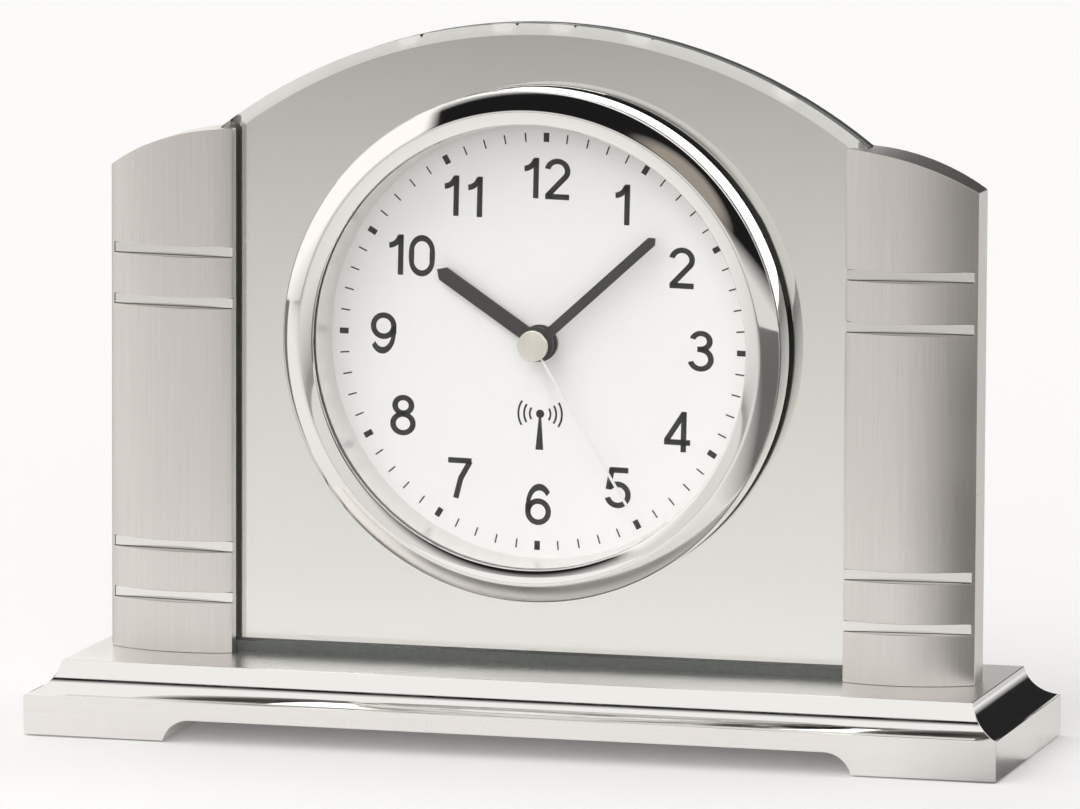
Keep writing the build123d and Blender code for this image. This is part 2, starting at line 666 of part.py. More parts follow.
def contact_negative():
    wall = -CASE_HALF_WIDTH + CASE_WALL
    plate = block((wall, wall + CONTACT_THICKNESS), CONTACT_Y, CONTACT_Z)
    tip = -CELL_LENGTH / 2
    leaf_points = [(wall + 0.3, 3.0), (tip, 8.0), (tip, 8.8), (wall + 0.3, 13.8), (wall + 0.3, 13.3),
                   (tip - 0.5, 8.4), (wall + 0.3, 3.5)]
    leaf = extrude(Pos(0, 0, AXIS_Z + CELL_Z - 3) * make_face(Polyline(*leaf_points, close=True)), 6)
    return plate + leaf


def gear_bridge():
    body = block(BRIDGE_X, BRIDGE_Y, (GEAR_ROOM_BOTTOM + 0.4, BRIDGE_TOP))
    for centre in LOOSE_ARBORS:
        body -= disc(ARBOR_RADIUS + RUNNING_CLEARANCE, BRIDGE_Y[0] - 1, BRIDGE_Y[1] + 1, *centre)
    body -= disc(SECOND_ARBOR_RADIUS + RUNNING_CLEARANCE, BRIDGE_Y[0] - 1, BRIDGE_Y[1] + 1)
    for x, z in BRIDGE_PILLARS:
        body += disc(BRIDGE_PILLAR_RADIUS, CASE_FLOOR_Y, BRIDGE_Y[0] + 0.1, x, z)
    return body


def circuit_board():
    return block((-BOARD_HALF_WIDTH, BOARD_HALF_WIDTH), BOARD_Y, (GEAR_ROOM_BOTTOM + 0.6, BOARD_TOP))


def tact_switches():
    switches = []
    for x, z in BUTTON_PLACES.values():
        depth = (BOARD_Y[1], BOARD_Y[1] + SWITCH_HEIGHT)
        switches.append(block((x - SWITCH_HALF, x + SWITCH_HALF), depth, (z - SWITCH_HALF, z + SWITCH_HALF)))
    return Compound(switches)


def push_button(place):
    flange_back = CASE_BACK_Y - CASE_WALL - 0.3
    flange_front = flange_back - 0.6
    stem_front = BOARD_Y[1] + SWITCH_HEIGHT + BUTTON_TRAVEL + 0.1
    cap = disc(BUTTON_RADIUS, flange_back - 0.1, BUTTON_TIP_Y, *place)
    cap = chamfer(cap.edges().sort_by(Axis.Y)[-1], 0.4)
    return cap + disc(BUTTON_FLANGE_RADIUS, flange_front, flange_back, *place) \
        + disc(STEM_RADIUS, stem_front, flange_front + 0.1, *place)


def antenna_rod():
    plane = Plane((-ROD_LENGTH / 2, ROD_Y, AXIS_Z + ROD_Z), x_dir=(0, 1, 0), z_dir=(1, 0, 0))
    return extrude(plane * Circle(ROD_RADIUS), ROD_LENGTH)


def antenna_coil():
    plane = Plane((-ROD_COIL_LENGTH / 2, ROD_Y, AXIS_Z + ROD_Z), x_dir=(0, 1, 0), z_dir=(1, 0, 0))
    return extrude(plane * (Circle(ROD_COIL_RADIUS) - Circle(ROD_RADIUS)), ROD_COIL_LENGTH)


def motor_parts(rotor, layer_y, low_z):
    """Stator plate with its coil: the plate wraps the rotor and feeds the coil's two ends."""
    back = layer_y + STATOR_THICKNESS
    high_z = low_z + MOTOR_COIL_LENGTH + 2 * STATOR_END
    plate = block((STATOR_INNER_X, MOTOR_COIL_X + STATOR_END), (layer_y, back), (low_z, high_z))
    window_x = (MOTOR_COIL_X - MOTOR_COIL_RADIUS - 1, MOTOR_COIL_X + MOTOR_COIL_RADIUS + 1)
    plate -= block(window_x, (layer_y - 1, back + 1), (low_z + STATOR_END, high_z - STATOR_END))
    plate -= disc(MAGNET_RADIUS + 0.4, layer_y - 1, back + 1, *rotor)
    for centre in LOOSE_ARBORS:
        plate -= disc(ARBOR_RADIUS + 0.6, layer_y - 1, back + 1, *centre)
    middle_y = layer_y + STATOR_THICKNESS / 2
    coil_plane = Plane((MOTOR_COIL_X, middle_y, AXIS_Z + low_z + STATOR_END))
    coil = extrude(coil_plane * Circle(MOTOR_COIL_RADIUS), MOTOR_COIL_LENGTH)
    return plate, coil


# ---------------------------------------------------------------- wheels and hands

def second_wheel():
    phase = facing_gap(SECOND_TEETH, direction(CENTRE, SECOND_IDLER_CENTRE))
    body = gear(SECOND_TEETH, FINE_MODULE, *SECOND_WHEEL_Y, CENTRE, phase)
    body += disc(SECOND_HUB_RADIUS, *SECOND_HUB_Y)
    body += disc(SECOND_ARBOR_RADIUS, SECOND_HAND_Y + 0.1, ARBOR_END_Y)
    return body


def second_idler():
    to_wheel = direction(SECOND_IDLER_CENTRE, CENTRE)
    to_rotor = direction(SECOND_IDLER_CENTRE, SECOND_ROTOR_CENTRE)
    body = gear(SECOND_IDLER_PINION_TEETH, FINE_MODULE, *SECOND_PINION_Y, SECOND_IDLER_CENTRE, to_wheel)
    body += gear(SECOND_IDLER_TEETH, FINE_MODULE, *SECOND_IDLER_Y, SECOND_IDLER_CENTRE, to_rotor)
    return body + arbor(SECOND_IDLER_CENTRE)


def second_rotor():
    phase = facing_gap(SECOND_ROTOR_TEETH, direction(SECOND_ROTOR_CENTRE, SECOND_IDLER_CENTRE))
    body = gear(SECOND_ROTOR_TEETH, FINE_MODULE, *SECOND_ROTOR_Y, SECOND_ROTOR_CENTRE, phase)
    body += disc(MAGNET_RADIUS, *SECOND_MAGNET_Y, *SECOND_ROTOR_CENTRE)
    return body + arbor(SECOND_ROTOR_CENTRE)


def minute_wheel():
    phase = facing_gap(MINUTE_TEETH, direction(CENTRE, MINUTE_IDLER_CENTRE))
    body = gear(MINUTE_TEETH, FINE_MODULE, *MINUTE_WHEEL_Y, CENTRE, phase)
    cannon_phase = facing_gap(CANNON_TEETH, direction(CENTRE, WORK_CENTRE))
    body += gear(CANNON_TEETH, COARSE_MODULE, *CANNON_Y, CENTRE, cannon_phase)
    body += disc(MINUTE_PIPE_RADIUS, MINUTE_HAND_Y, CANNON_Y[0])
    body -= disc(SECOND_ARBOR_RADIUS + RUNNING_CLEARANCE, MINUTE_HAND_Y - 1, MINUTE_WHEEL_Y[1] + 0.4)
    return body


def minute_idler():
    to_wheel = direction(MINUTE_IDLER_CENTRE, CENTRE)
    to_rotor = direction(MINUTE_IDLER_CENTRE, MINUTE_ROTOR_CENTRE)
    body = gear(MINUTE_IDLER_PINION_TEETH, FINE_MODULE, *MINUTE_PINION_Y, MINUTE_IDLER_CENTRE, to_wheel)
    body += gear(MINUTE_IDLER_TEETH, FINE_MODULE, *MINUTE_IDLER_Y, MINUTE_IDLER_CENTRE, to_rotor)
    return body + arbor(MINUTE_IDLER_CENTRE)


def minute_rotor():
    phase = facing_gap(MINUTE_ROTOR_TEETH, direction(MINUTE_ROTOR_CENTRE, MINUTE_IDLER_CENTRE))
    body = gear(MINUTE_ROTOR_TEETH, FINE_MODULE, *MINUTE_ROTOR_Y, MINUTE_ROTOR_CENTRE, phase)
    body += disc(MAGNET_RADIUS, *MINUTE_MAGNET_Y, *MINUTE_ROTOR_CENTRE)
    return body + arbor(MINUTE_ROTOR_CENTRE)


def work_wheel():
    to_centre = direction(WORK_CENTRE, CENTRE)
    body = gear(WORK_TEETH, COARSE_MODULE, *WORK_WHEEL_Y, WORK_CENTRE, to_centre)
    body += gear(WORK_PINION_TEETH, COARSE_MODULE, *WORK_PINION_Y, WORK_CENTRE, to_centre)
    return body - disc(WORK_POST_RADIUS, 0, WORK_WHEEL_Y[1] + 1, *WORK_CENTRE)


def hour_wheel():
    phase = facing_gap(HOUR_TEETH, direction(CENTRE, WORK_CENTRE))
    body = gear(HOUR_TEETH, COARSE_MODULE, *HOUR_WHEEL_Y, CENTRE, phase)
    body += disc(HOUR_PIPE_RADIUS, HOUR_HAND_Y, HOUR_WHEEL_Y[0])
    return body - disc(MINUTE_PIPE_RADIUS + RUNNING_CLEARANCE, HOUR_HAND_Y - 1, HOUR_WHEEL_Y[1] + 1)


def pointed_hand(length, width, angle, back, hub_radius, bore):
    """Bar hand with a right-angled point and a round hub behind the bar."""
    half = width / 2
    point = [(-half, length - half), (0, length), (half, length - half)]
    outline = Polyline((-half, 0), *point, (half, 0), close=True)
    plane = axis_plane(back)
    blade = extrude(plane * Rot(0, 0, -angle) * make_face(outline), HAND_THICKNESS)
    hub = disc(hub_radius, back - HAND_THICKNESS, back + HUB_DEPTH - HAND_THICKNESS)
    return blade + hub - disc(bore, back - 2, back + 2)


def hour_hand():
    return pointed_hand(HOUR_LENGTH, HOUR_WIDTH, HOUR_ANGLE, HOUR_HAND_Y + HAND_THICKNESS,
                        HOUR_HUB_RADIUS, HOUR_PIPE_RADIUS)


def minute_hand():
    return pointed_hand(MINUTE_LENGTH, MINUTE_WIDTH, MINUTE_ANGLE, MINUTE_HAND_Y + HAND_THICKNESS,
                        MINUTE_HUB_RADIUS, MINUTE_PIPE_RADIUS)


def second_hand():
    root = SECOND_ROOT_WIDTH / 2
    tip = SECOND_TIP_WIDTH / 2
    outline = Polyline((-root, 0), (-tip, SECOND_LENGTH), (tip, SECOND_LENGTH - 0.6), (root, 0), close=True)
    plane = axis_plane(SECOND_HAND_Y + SECOND_HAND_THICKNESS)
    blade = extrude(plane * Rot(0, 0, -SECOND_ANGLE) * make_face(outline), SECOND_HAND_THICKNESS)
    cap = disc(CAP_RADIUS, CAP_FRONT_Y, SECOND_HAND_Y)
    cap = chamfer(cap.edges().sort_by(Axis.Y)[0], 0.2)
    sleeve = disc(1.1, SECOND_HAND_Y, SECOND_HAND_Y + 2.2)
    bore = disc(SECOND_ARBOR_RADIUS, SECOND_HAND_Y + 0.1, SECOND_HAND_Y + 3)
    return cap + blade + sleeve - bore


# ---------------------------------------------------------------- export

second_stator, second_coil = motor_parts(SECOND_ROTOR_CENTRE, 2.6, -17.0)
minute_stator, minute_coil = motor_parts(MINUTE_ROTOR_CENTRE, 5.2, 0.6)
column = right_column()
bands = right_bands()
SILVER_FRONT_Y = GLASS_FRONT_Y + GLASS_THICKNESS

NODES = {
    "plinth": plinth(),
    "foot_pads": foot_pads(),
    "right_column": column,
    "left_column": mirror(column, Plane.YZ),
    "right_column_bands": bands,
    "left_column_bands": mirror(bands, Plane.YZ),
    "column_screws": column_screws(),
    "glass_panel": glass_panel(),
    "silvering": arched_plate(SILVER_FRONT_Y, SILVER_FRONT_Y + SILVER_THICKNESS),
    "backing_board": arched_plate(SILVER_FRONT_Y + SILVER_THICKNESS, BOARD_BACK_Y),
    "bezel_ring": bezel_ring(),
    "bezel_gasket": bezel_gasket(),
    "crystal": crystal(),
    "reflector_ring": reflector_ring(),
    "dial": dial(),
    "rear_housing": rear_housing(),
    "housing_screws": housing_screws(),
    "movement_front_case": movement_front_case(),
    "movement_back_case": movement_back_case(),
    "movement_nut": movement_nut(),
    "movement_washer": movement_washer(),
    "gear_bridge": gear_bridge(),
    "circuit_board": circuit_board(),
    "tact_switches": tact_switches(),
    "antenna_rod": antenna_rod(),
    "antenna_coil": antenna_coil(),
    "second_stator": second_stator,
    "second_coil": second_coil,
    "minute_stator": minute_stator,
    "minute_coil": minute_coil,
    "battery_cell": battery_cell(),
    "contact_positive": contact_positive(),
    "contact_negative": contact_negative(),
    "battery_cover": battery_cover(),
    "second_rotor": second_rotor(),
    "second_idler": second_idler(),
    "second_wheel": second_wheel(),
    "second_hand": second_hand(),
    "minute_rotor": minute_rotor(),
    "minute_idler": minute_idler(),
    "minute_wheel": minute_wheel(),
    "minute_hand": minute_hand(),
    "minute_work_wheel": work_wheel(),
    "hour_wheel": hour_wheel(),
    "hour_hand": hour_hand(),
}
for name, place in BUTTON_PLACES.items():
    NODES[name] = push_button(place)

os.makedirs("parts", exist_ok=True)
for name, shape in NODES.items():
    export_step(shape, f"parts/{name}.step")
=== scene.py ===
from math import atan2, cos, hypot, pi, radians, sin, sqrt

import bpy
from mathutils import Matrix, Vector


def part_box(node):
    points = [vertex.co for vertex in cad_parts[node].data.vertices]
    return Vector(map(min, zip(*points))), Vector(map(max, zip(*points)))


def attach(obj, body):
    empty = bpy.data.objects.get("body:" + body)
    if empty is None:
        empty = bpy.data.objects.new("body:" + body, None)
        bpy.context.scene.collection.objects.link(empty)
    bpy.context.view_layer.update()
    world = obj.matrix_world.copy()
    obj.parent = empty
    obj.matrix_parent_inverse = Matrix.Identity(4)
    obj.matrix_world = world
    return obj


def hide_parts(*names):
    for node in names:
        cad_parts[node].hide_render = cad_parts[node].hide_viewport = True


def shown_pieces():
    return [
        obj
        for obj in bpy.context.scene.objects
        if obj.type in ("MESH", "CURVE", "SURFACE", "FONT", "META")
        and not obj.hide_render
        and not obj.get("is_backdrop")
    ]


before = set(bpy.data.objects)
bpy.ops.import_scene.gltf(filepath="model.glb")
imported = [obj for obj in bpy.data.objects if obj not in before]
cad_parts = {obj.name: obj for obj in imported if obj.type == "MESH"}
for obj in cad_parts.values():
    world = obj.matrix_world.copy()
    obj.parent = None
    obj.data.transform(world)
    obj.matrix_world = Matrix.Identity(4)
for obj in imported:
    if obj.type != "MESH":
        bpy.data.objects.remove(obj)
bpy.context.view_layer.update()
bpy.ops.object.select_all(action="DESELECT")
MM = 0.001


# ------------------------------------------------------------------ plinth
# Die-cast aluminium plinth: a slab with a hollow cove round its top and a relief that leaves two feet.
# The slab and the top are brushed along their length; the cove is polished. Its edges are just eased.

def node_material(name, colour, metallic=0.0, roughness=0.5):
    """Material with a Principled shader; returns it with its node tree and the shader."""
    material = bpy.data.materials.new(name)
    material.use_nodes = True
    shader = material.node_tree.nodes["Principled BSDF"]
    shader.inputs["Base Color"].default_value = (*colour, 1)
    shader.inputs["Metallic"].default_value = metallic
    shader.inputs["Roughness"].default_value = roughness
    return material, material.node_tree, shader


def start_group(name, inputs, outputs):
    """Empty node group with float or vector inputs and the outputs named."""
    group = bpy.data.node_groups.new(name, "ShaderNodeTree")
    for label, kind, value in inputs:
        socket = group.interface.new_socket(label, in_out="INPUT", socket_type=kind)
        socket.default_value = value
    for label, kind in outputs:
        group.interface.new_socket(label, in_out="OUTPUT", socket_type=kind)
    return group, group.nodes.new("NodeGroupInput"), group.nodes.new("NodeGroupOutput")


def brushing_group():
    """Fine parallel scratches with a slow cloudiness: a mask and a bumped normal."""
    group, given, result = start_group("brushing", [
        ("Grain", "NodeSocketVector", (30.0, 3000.0, 3000.0)),
        ("Depth", "NodeSocketFloat", 0.2),
    ], [("Scratches", "NodeSocketFloat"), ("Clouds", "NodeSocketFloat"), ("Normal", "NodeSocketVector")])
    nodes, links = group.nodes, group.links
    place = nodes.new("ShaderNodeTexCoord")
    stretch = nodes.new("ShaderNodeVectorMath")
    stretch.operation = "MULTIPLY"
    links.new(place.outputs["Object"], stretch.inputs[0])
    links.new(given.outputs["Grain"], stretch.inputs[1])
    scratches = nodes.new("ShaderNodeTexNoise")
    scratches.inputs["Scale"].default_value = 1.0
    scratches.inputs["Detail"].default_value = 4.0
    scratches.inputs["Roughness"].default_value = 0.75
    links.new(stretch.outputs["Vector"], scratches.inputs["Vector"])
    clouds = nodes.new("ShaderNodeTexNoise")
    clouds.inputs["Scale"].default_value = 22.0
    clouds.inputs["Detail"].default_value = 2.0
    links.new(place.outputs["Object"], clouds.inputs["Vector"])
    bump = nodes.new("ShaderNodeBump")
    bump.inputs["Distance"].default_value = 0.02 * MM
    links.new(given.outputs["Depth"], bump.inputs["Strength"])
    links.new(scratches.outputs["Fac"], bump.inputs["Height"])
    links.new(scratches.outputs["Fac"], result.inputs["Scratches"])
    links.new(clouds.outputs["Fac"], result.inputs["Clouds"])
    links.new(bump.outputs["Normal"], result.inputs["Normal"])
    return group


BRUSHING = brushing_group()


def blend_colours(tree, factor, first, second):
    """Colour that goes from first to second with a factor socket; each is a colour or a socket."""
    mix = tree.nodes.new("ShaderNodeMix")
    mix.data_type = "RGBA"
    tree.links.new(factor, mix.inputs[0])
    for socket, colour in ((mix.inputs[6], first), (mix.inputs[7], second)):
        if isinstance(colour, tuple):
            socket.default_value = (*colour, 1)
        else:
            tree.links.new(colour, socket)
    return mix.outputs[2]


NOISE_SPREAD = (0.3, 0.7)


def remap(tree, value, low, high, source=NOISE_SPREAD):
    """Value socket carried from the source range to low..high; the usual source is a noise."""
    node = tree.nodes.new("ShaderNodeMapRange")
    node.inputs["From Min"].default_value = source[0]
    node.inputs["From Max"].default_value = source[1]
    node.inputs["To Min"].default_value = low
    node.inputs["To Max"].default_value = high
    tree.links.new(value, node.inputs["Value"])
    return node.outputs["Result"]


def brushed_metal(name, grain, dark, light, roughness, depth):
    """Aluminium brushed along the axis where grain, in scratches per metre, is smallest."""
    material, tree, shader = node_material(name, light, metallic=1.0)
    brushing = tree.nodes.new("ShaderNodeGroup")
    brushing.node_tree = BRUSHING
    brushing.inputs["Grain"].default_value = grain
    brushing.inputs["Depth"].default_value = depth
    colour = blend_colours(tree, brushing.outputs["Scratches"], dark, light)
    tree.links.new(colour, shader.inputs["Base Color"])
    rough = remap(tree, brushing.outputs["Clouds"], roughness - 0.04, roughness + 0.05)
    tree.links.new(rough, shader.inputs["Roughness"])
    tree.links.new(brushing.outputs["Normal"], shader.inputs["Normal"])
    return material


def handling_group():
    """Faint wiping marks and specks on a polished surface: a mask from 0 to 1 and a bumped normal."""
    group, given, result = start_group("handling", [
        ("Size", "NodeSocketFloat", 60.0),
        ("Depth", "NodeSocketFloat", 0.1),
    ], [("Marks", "NodeSocketFloat"), ("Normal", "NodeSocketVector")])
    nodes, links = group.nodes, group.links
    place = nodes.new("ShaderNodeTexCoord")
    marks = nodes.new("ShaderNodeTexNoise")
    marks.inputs["Detail"].default_value = 5.0
    marks.inputs["Roughness"].default_value = 0.6
    marks.inputs["Distortion"].default_value = 0.6
    links.new(place.outputs["Object"], marks.inputs["Vector"])
    links.new(given.outputs["Size"], marks.inputs["Scale"])
    waves = nodes.new("ShaderNodeTexNoise")
    waves.inputs["Scale"].default_value = 90.0
    links.new(place.outputs["Object"], waves.inputs["Vector"])
    bump = nodes.new("ShaderNodeBump")
    bump.inputs["Distance"].default_value = 0.05 * MM
    links.new(given.outputs["Depth"], bump.inputs["Strength"])
    links.new(waves.outputs["Fac"], bump.inputs["Height"])
    links.new(marks.outputs["Fac"], result.inputs["Marks"])
    links.new(bump.outputs["Normal"], result.inputs["Normal"])
    return group


HANDLING = handling_group()


def polished_metal(name, colour, roughness, depth=0.15):
    """Mirror-bright metal with a trace of wiping marks and a slight waviness."""
    material, tree, shader = node_material(name, colour, metallic=1.0)
    handling = tree.nodes.new("ShaderNodeGroup")
    handling.node_tree = HANDLING
    handling.inputs["Depth"].default_value = depth
    rough = remap(tree, handling.outputs["Marks"], roughness * 0.6, roughness * 1.6)
    tree.links.new(rough, shader.inputs["Roughness"])
    tree.links.new(handling.outputs["Normal"], shader.inputs["Normal"])
    return material


ALONG_BRUSHING = 25
ACROSS_BRUSHING = 2600
PLINTH_SATIN = brushed_metal(
    "plinth_satin", (ALONG_BRUSHING, ACROSS_BRUSHING, ACROSS_BRUSHING),
    (0.83, 0.81, 0.79), (0.95, 0.93, 0.91), roughness=0.28, depth=0.35)
BRIGHT_METAL = polished_metal("bright_metal", (0.86, 0.85, 0.83), 0.07)


def set_finish(piece, *materials):
    """Gives a piece these materials in place of the ones it has."""
    piece.data.materials.clear()
    for material in materials:
        piece.data.materials.append(material)


def cube(name, low, high):
    """Cube between two corners, with its place in its mesh."""
    low, high = Vector(low), Vector(high)
    bpy.ops.mesh.primitive_cube_add(size=1, location=(low + high) / 2, scale=high - low)
    bpy.ops.object.transform_apply(location=True, rotation=True, scale=True)
    piece = bpy.context.object
    piece.name = name
    return piece


def select_only(piece):
    """Selects one piece alone and makes it the active one."""
    bpy.ops.object.select_all(action="DESELECT")
    piece.select_set(True)
    bpy.context.view_layer.objects.active = piece


def cut(piece, tool):
    """Cuts a tool out of a piece; the tool is used up."""
    modifier = piece.modifiers.new("cut", "BOOLEAN")
    modifier.operation = "DIFFERENCE"
    modifier.solver = "MANIFOLD"
    modifier.object = tool
    bpy.context.view_layer.objects.active = piece
    bpy.ops.object.modifier_apply(modifier=modifier.name)
    bpy.data.objects.remove(tool)


def ease_edges(piece, width, segments=2, limit=35, flat_faces=True):
    """Rounds the sharp edges of a piece by width and shades it; flat_faces keeps the wide faces flat."""
    bevel = piece.modifiers.new("eased", "BEVEL")
    bevel.width = width
    bevel.segments = segments
    bevel.limit_method = "ANGLE"
    bevel.angle_limit = radians(limit)
    bevel.use_clamp_overlap = True
    select_only(piece)
    bpy.ops.object.modifier_apply(modifier=bevel.name)
    bpy.ops.object.shade_smooth_by_angle(angle=radians(limit))
    if flat_faces:
        even = piece.modifiers.new("even", "WEIGHTED_NORMAL")
        even.keep_sharp = True
        bpy.ops.object.modifier_apply(modifier=even.name)


def edit_faces(piece, wanted):
    """Opens a piece in edit mode with only the faces selected for which wanted(face) is true."""
    select_only(piece)
    bpy.ops.object.mode_set(mode="EDIT")
    bpy.ops.mesh.select_mode(type="FACE")
    bpy.ops.mesh.select_all(action="DESELECT")
    bpy.ops.object.mode_set(mode="OBJECT")
    for face in piece.data.polygons:
        face.select = wanted(face)
    bpy.ops.object.mode_set(mode="EDIT")


plinth_low, plinth_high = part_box("plinth")
SLAB_TOP = 11.3 * MM
COVE_INSET = 8.5 * MM
COVE_RADIUS = 11.0 * MM
COVE_STEPS = 14
RELIEF_HEIGHT = 6.2 * MM
RELIEF_RADIUS = 7.6 * MM
RELIEF_HALF = 95.7 * MM
RELIEF_STEPS = 10
RELIEF_OVERCUT = 1.1
PLINTH_EDGE = 0.25 * MM
FACES_UP = 0.9
LEVEL = 0.999

plinth = cube("plinth_body", plinth_low, (plinth_high.x, plinth_high.y, SLAB_TOP))

# The cove's arc, with its centre in (inset, rise) from the top edge of the slab.
rise = plinth_high.z - SLAB_TOP
half_chord = hypot(COVE_INSET, rise) / 2
reach = sqrt(COVE_RADIUS ** 2 - half_chord ** 2)
cove_centre = (
    COVE_INSET / 2 - reach * rise / (2 * half_chord),
    rise / 2 + reach * COVE_INSET / (2 * half_chord),
)
cove_start = atan2(-cove_centre[1], -cove_centre[0])
cove_end = atan2(rise - cove_centre[1], COVE_INSET - cove_centre[0])
edit_faces(plinth, lambda face: face.normal.z > FACES_UP)
last_inset, last_rise = 0.0, 0.0
for step in range(1, COVE_STEPS + 1):
    angle = cove_start + (cove_end - cove_start) * step / COVE_STEPS
    inset = cove_centre[0] + COVE_RADIUS * cos(angle)
    height = cove_centre[1] + COVE_RADIUS * sin(angle)
    bpy.ops.mesh.extrude_region_move(TRANSFORM_OT_translate={"value": (0, 0, height - last_rise)})
    shrink_x = (plinth_high.x - inset) / (plinth_high.x - last_inset)
    shrink_y = (plinth_high.y - inset) / (plinth_high.y - last_inset)
    bpy.ops.transform.resize(value=(shrink_x, shrink_y, 1), center_override=(0, 0, SLAB_TOP))
    last_inset, last_rise = inset, height
bpy.ops.object.mode_set(mode="OBJECT")

relief = cube("relief", (-RELIEF_HALF, plinth_low.y * RELIEF_OVERCUT, -RELIEF_HEIGHT),
              (RELIEF_HALF, plinth_high.y * RELIEF_OVERCUT, RELIEF_HEIGHT))
round_off = relief.modifiers.new("round", "BEVEL")
round_off.width = RELIEF_RADIUS
round_off.segments = RELIEF_STEPS
round_off.limit_method = "WEIGHT"
weights = relief.data.attributes.new("bevel_weight_edge", "FLOAT", "EDGE")
for edge in relief.data.edges:
    ends = [relief.data.vertices[index].co for index in edge.vertices]
    along_y = abs(ends[0].x - ends[1].x) < MM and abs(ends[0].z - ends[1].z) < MM
    weights.data[edge.index].value = float(along_y and ends[0].z > 0)
select_only(relief)
bpy.ops.object.modifier_apply(modifier=round_off.name)
cut(plinth, relief)
ease_edges(plinth, PLINTH_EDGE, limit=25)
set_finish(plinth, PLINTH_SATIN, BRIGHT_METAL)
COVE_LOW = SLAB_TOP - 0.1 * MM
COVE_HIGH = plinth_high.z - 0.05 * MM
for face in plinth.data.polygons:
    if COVE_LOW < face.center.z < COVE_HIGH and face.normal.z < LEVEL:
        face.material_index = 1
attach(plinth, "clock_case")
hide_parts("plinth")


# ------------------------------------------------------------------ foot pads
# Four round felt pads of dark wool, punched out and glued into shallow pockets under the feet.
# They carry the clock and keep it from scratching the shelf.

def speckled(name, dark, light, scale, roughness, bump_depth, metallic=0.0):
    """Matt material with a fine isotropic grain in colour and relief; scale is per metre."""
    material, tree, shader = node_material(name, light, metallic=metallic, roughness=roughness)
    place = tree.nodes.new("ShaderNodeTexCoord")
    grain = tree.nodes.new("ShaderNodeTexNoise")
    grain.inputs["Scale"].default_value = scale
    grain.inputs["Detail"].default_value = 3.0
    tree.links.new(place.outputs["Object"], grain.inputs["Vector"])
    colour = blend_colours(tree, grain.outputs["Fac"], dark, light)
    tree.links.new(colour, shader.inputs["Base Color"])
    bump = tree.nodes.new("ShaderNodeBump")
    bump.inputs["Strength"].default_value = 0.4
    bump.inputs["Distance"].default_value = bump_depth
    tree.links.new(grain.outputs["Fac"], bump.inputs["Height"])
    tree.links.new(bump.outputs["Normal"], shader.inputs["Normal"])
    return material


FELT = speckled("felt", (0.012, 0.012, 0.012), (0.05, 0.05, 0.05), 2500, 0.95, 0.2 * MM)
set_finish(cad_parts["foot_pads"], FELT)


# ------------------------------------------------------------------ columns
# Two extruded aluminium columns with a bulged front, sawn to a curved top and brushed upright.
# Their flat backs and the slots for the glass are milled; each stands on two screws.

COLUMN_SATIN = brushed_metal(
    "column_satin", (ACROSS_BRUSHING, ACROSS_BRUSHING, ALONG_BRUSHING),
    (0.66, 0.63, 0.60), (0.86, 0.83, 0.80), roughness=0.30, depth=0.35)
COLUMN_SPAN = (85.5 * MM, 121.0 * MM)
COLUMN_FRONT = (-8.7 * MM, -4.9 * MM)
COLUMN_BACK = 5.3 * MM
COLUMN_TOPS = (163.7 * MM, 152.7 * MM)
COLUMN_BULGE = 4.5 * MM
COLUMN_STEPS = 28
COLUMN_EDGE = 0.35 * MM
SLOT = ((85.0 * MM, 90.1 * MM), (-4.9 * MM, 4.8 * MM))
SLOT_TOP = 240 * MM
BAND_BASES = (34.0 * MM, 48.0 * MM, 114.8 * MM, 128.8 * MM)
GROOVE_UNDER_BAND = 0.15 * MM
GROOVE_HEIGHT = 2.9 * MM
GROOVE_END = 120.0 * MM
GROOVE_DEPTH = 1.2 * MM
GROOVE_OVERCUT = 20 * MM


def circle_rise(run, span, sagitta):
    """Height of a circular arc over its chord, at a run along a chord of this span."""
    radius = (span ** 2 / 4 + sagitta ** 2) / (2 * sagitta)
    return sqrt(radius ** 2 - (run - span / 2) ** 2) - (radius - sagitta)


def face_outwards(piece):
    """Turns the faces of a closed piece outwards."""
    select_only(piece)
    bpy.ops.object.mode_set(mode="EDIT")
    bpy.ops.mesh.select_all(action="SELECT")
    bpy.ops.mesh.normals_make_consistent(inside=False)
    bpy.ops.object.mode_set(mode="OBJECT")


def column_chord(x):
    """Y of the straight line between the two front edges of a column."""
    part = (x - COLUMN_SPAN[0]) / (COLUMN_SPAN[1] - COLUMN_SPAN[0])
    return COLUMN_FRONT[0] + (COLUMN_FRONT[1] - COLUMN_FRONT[0]) * part


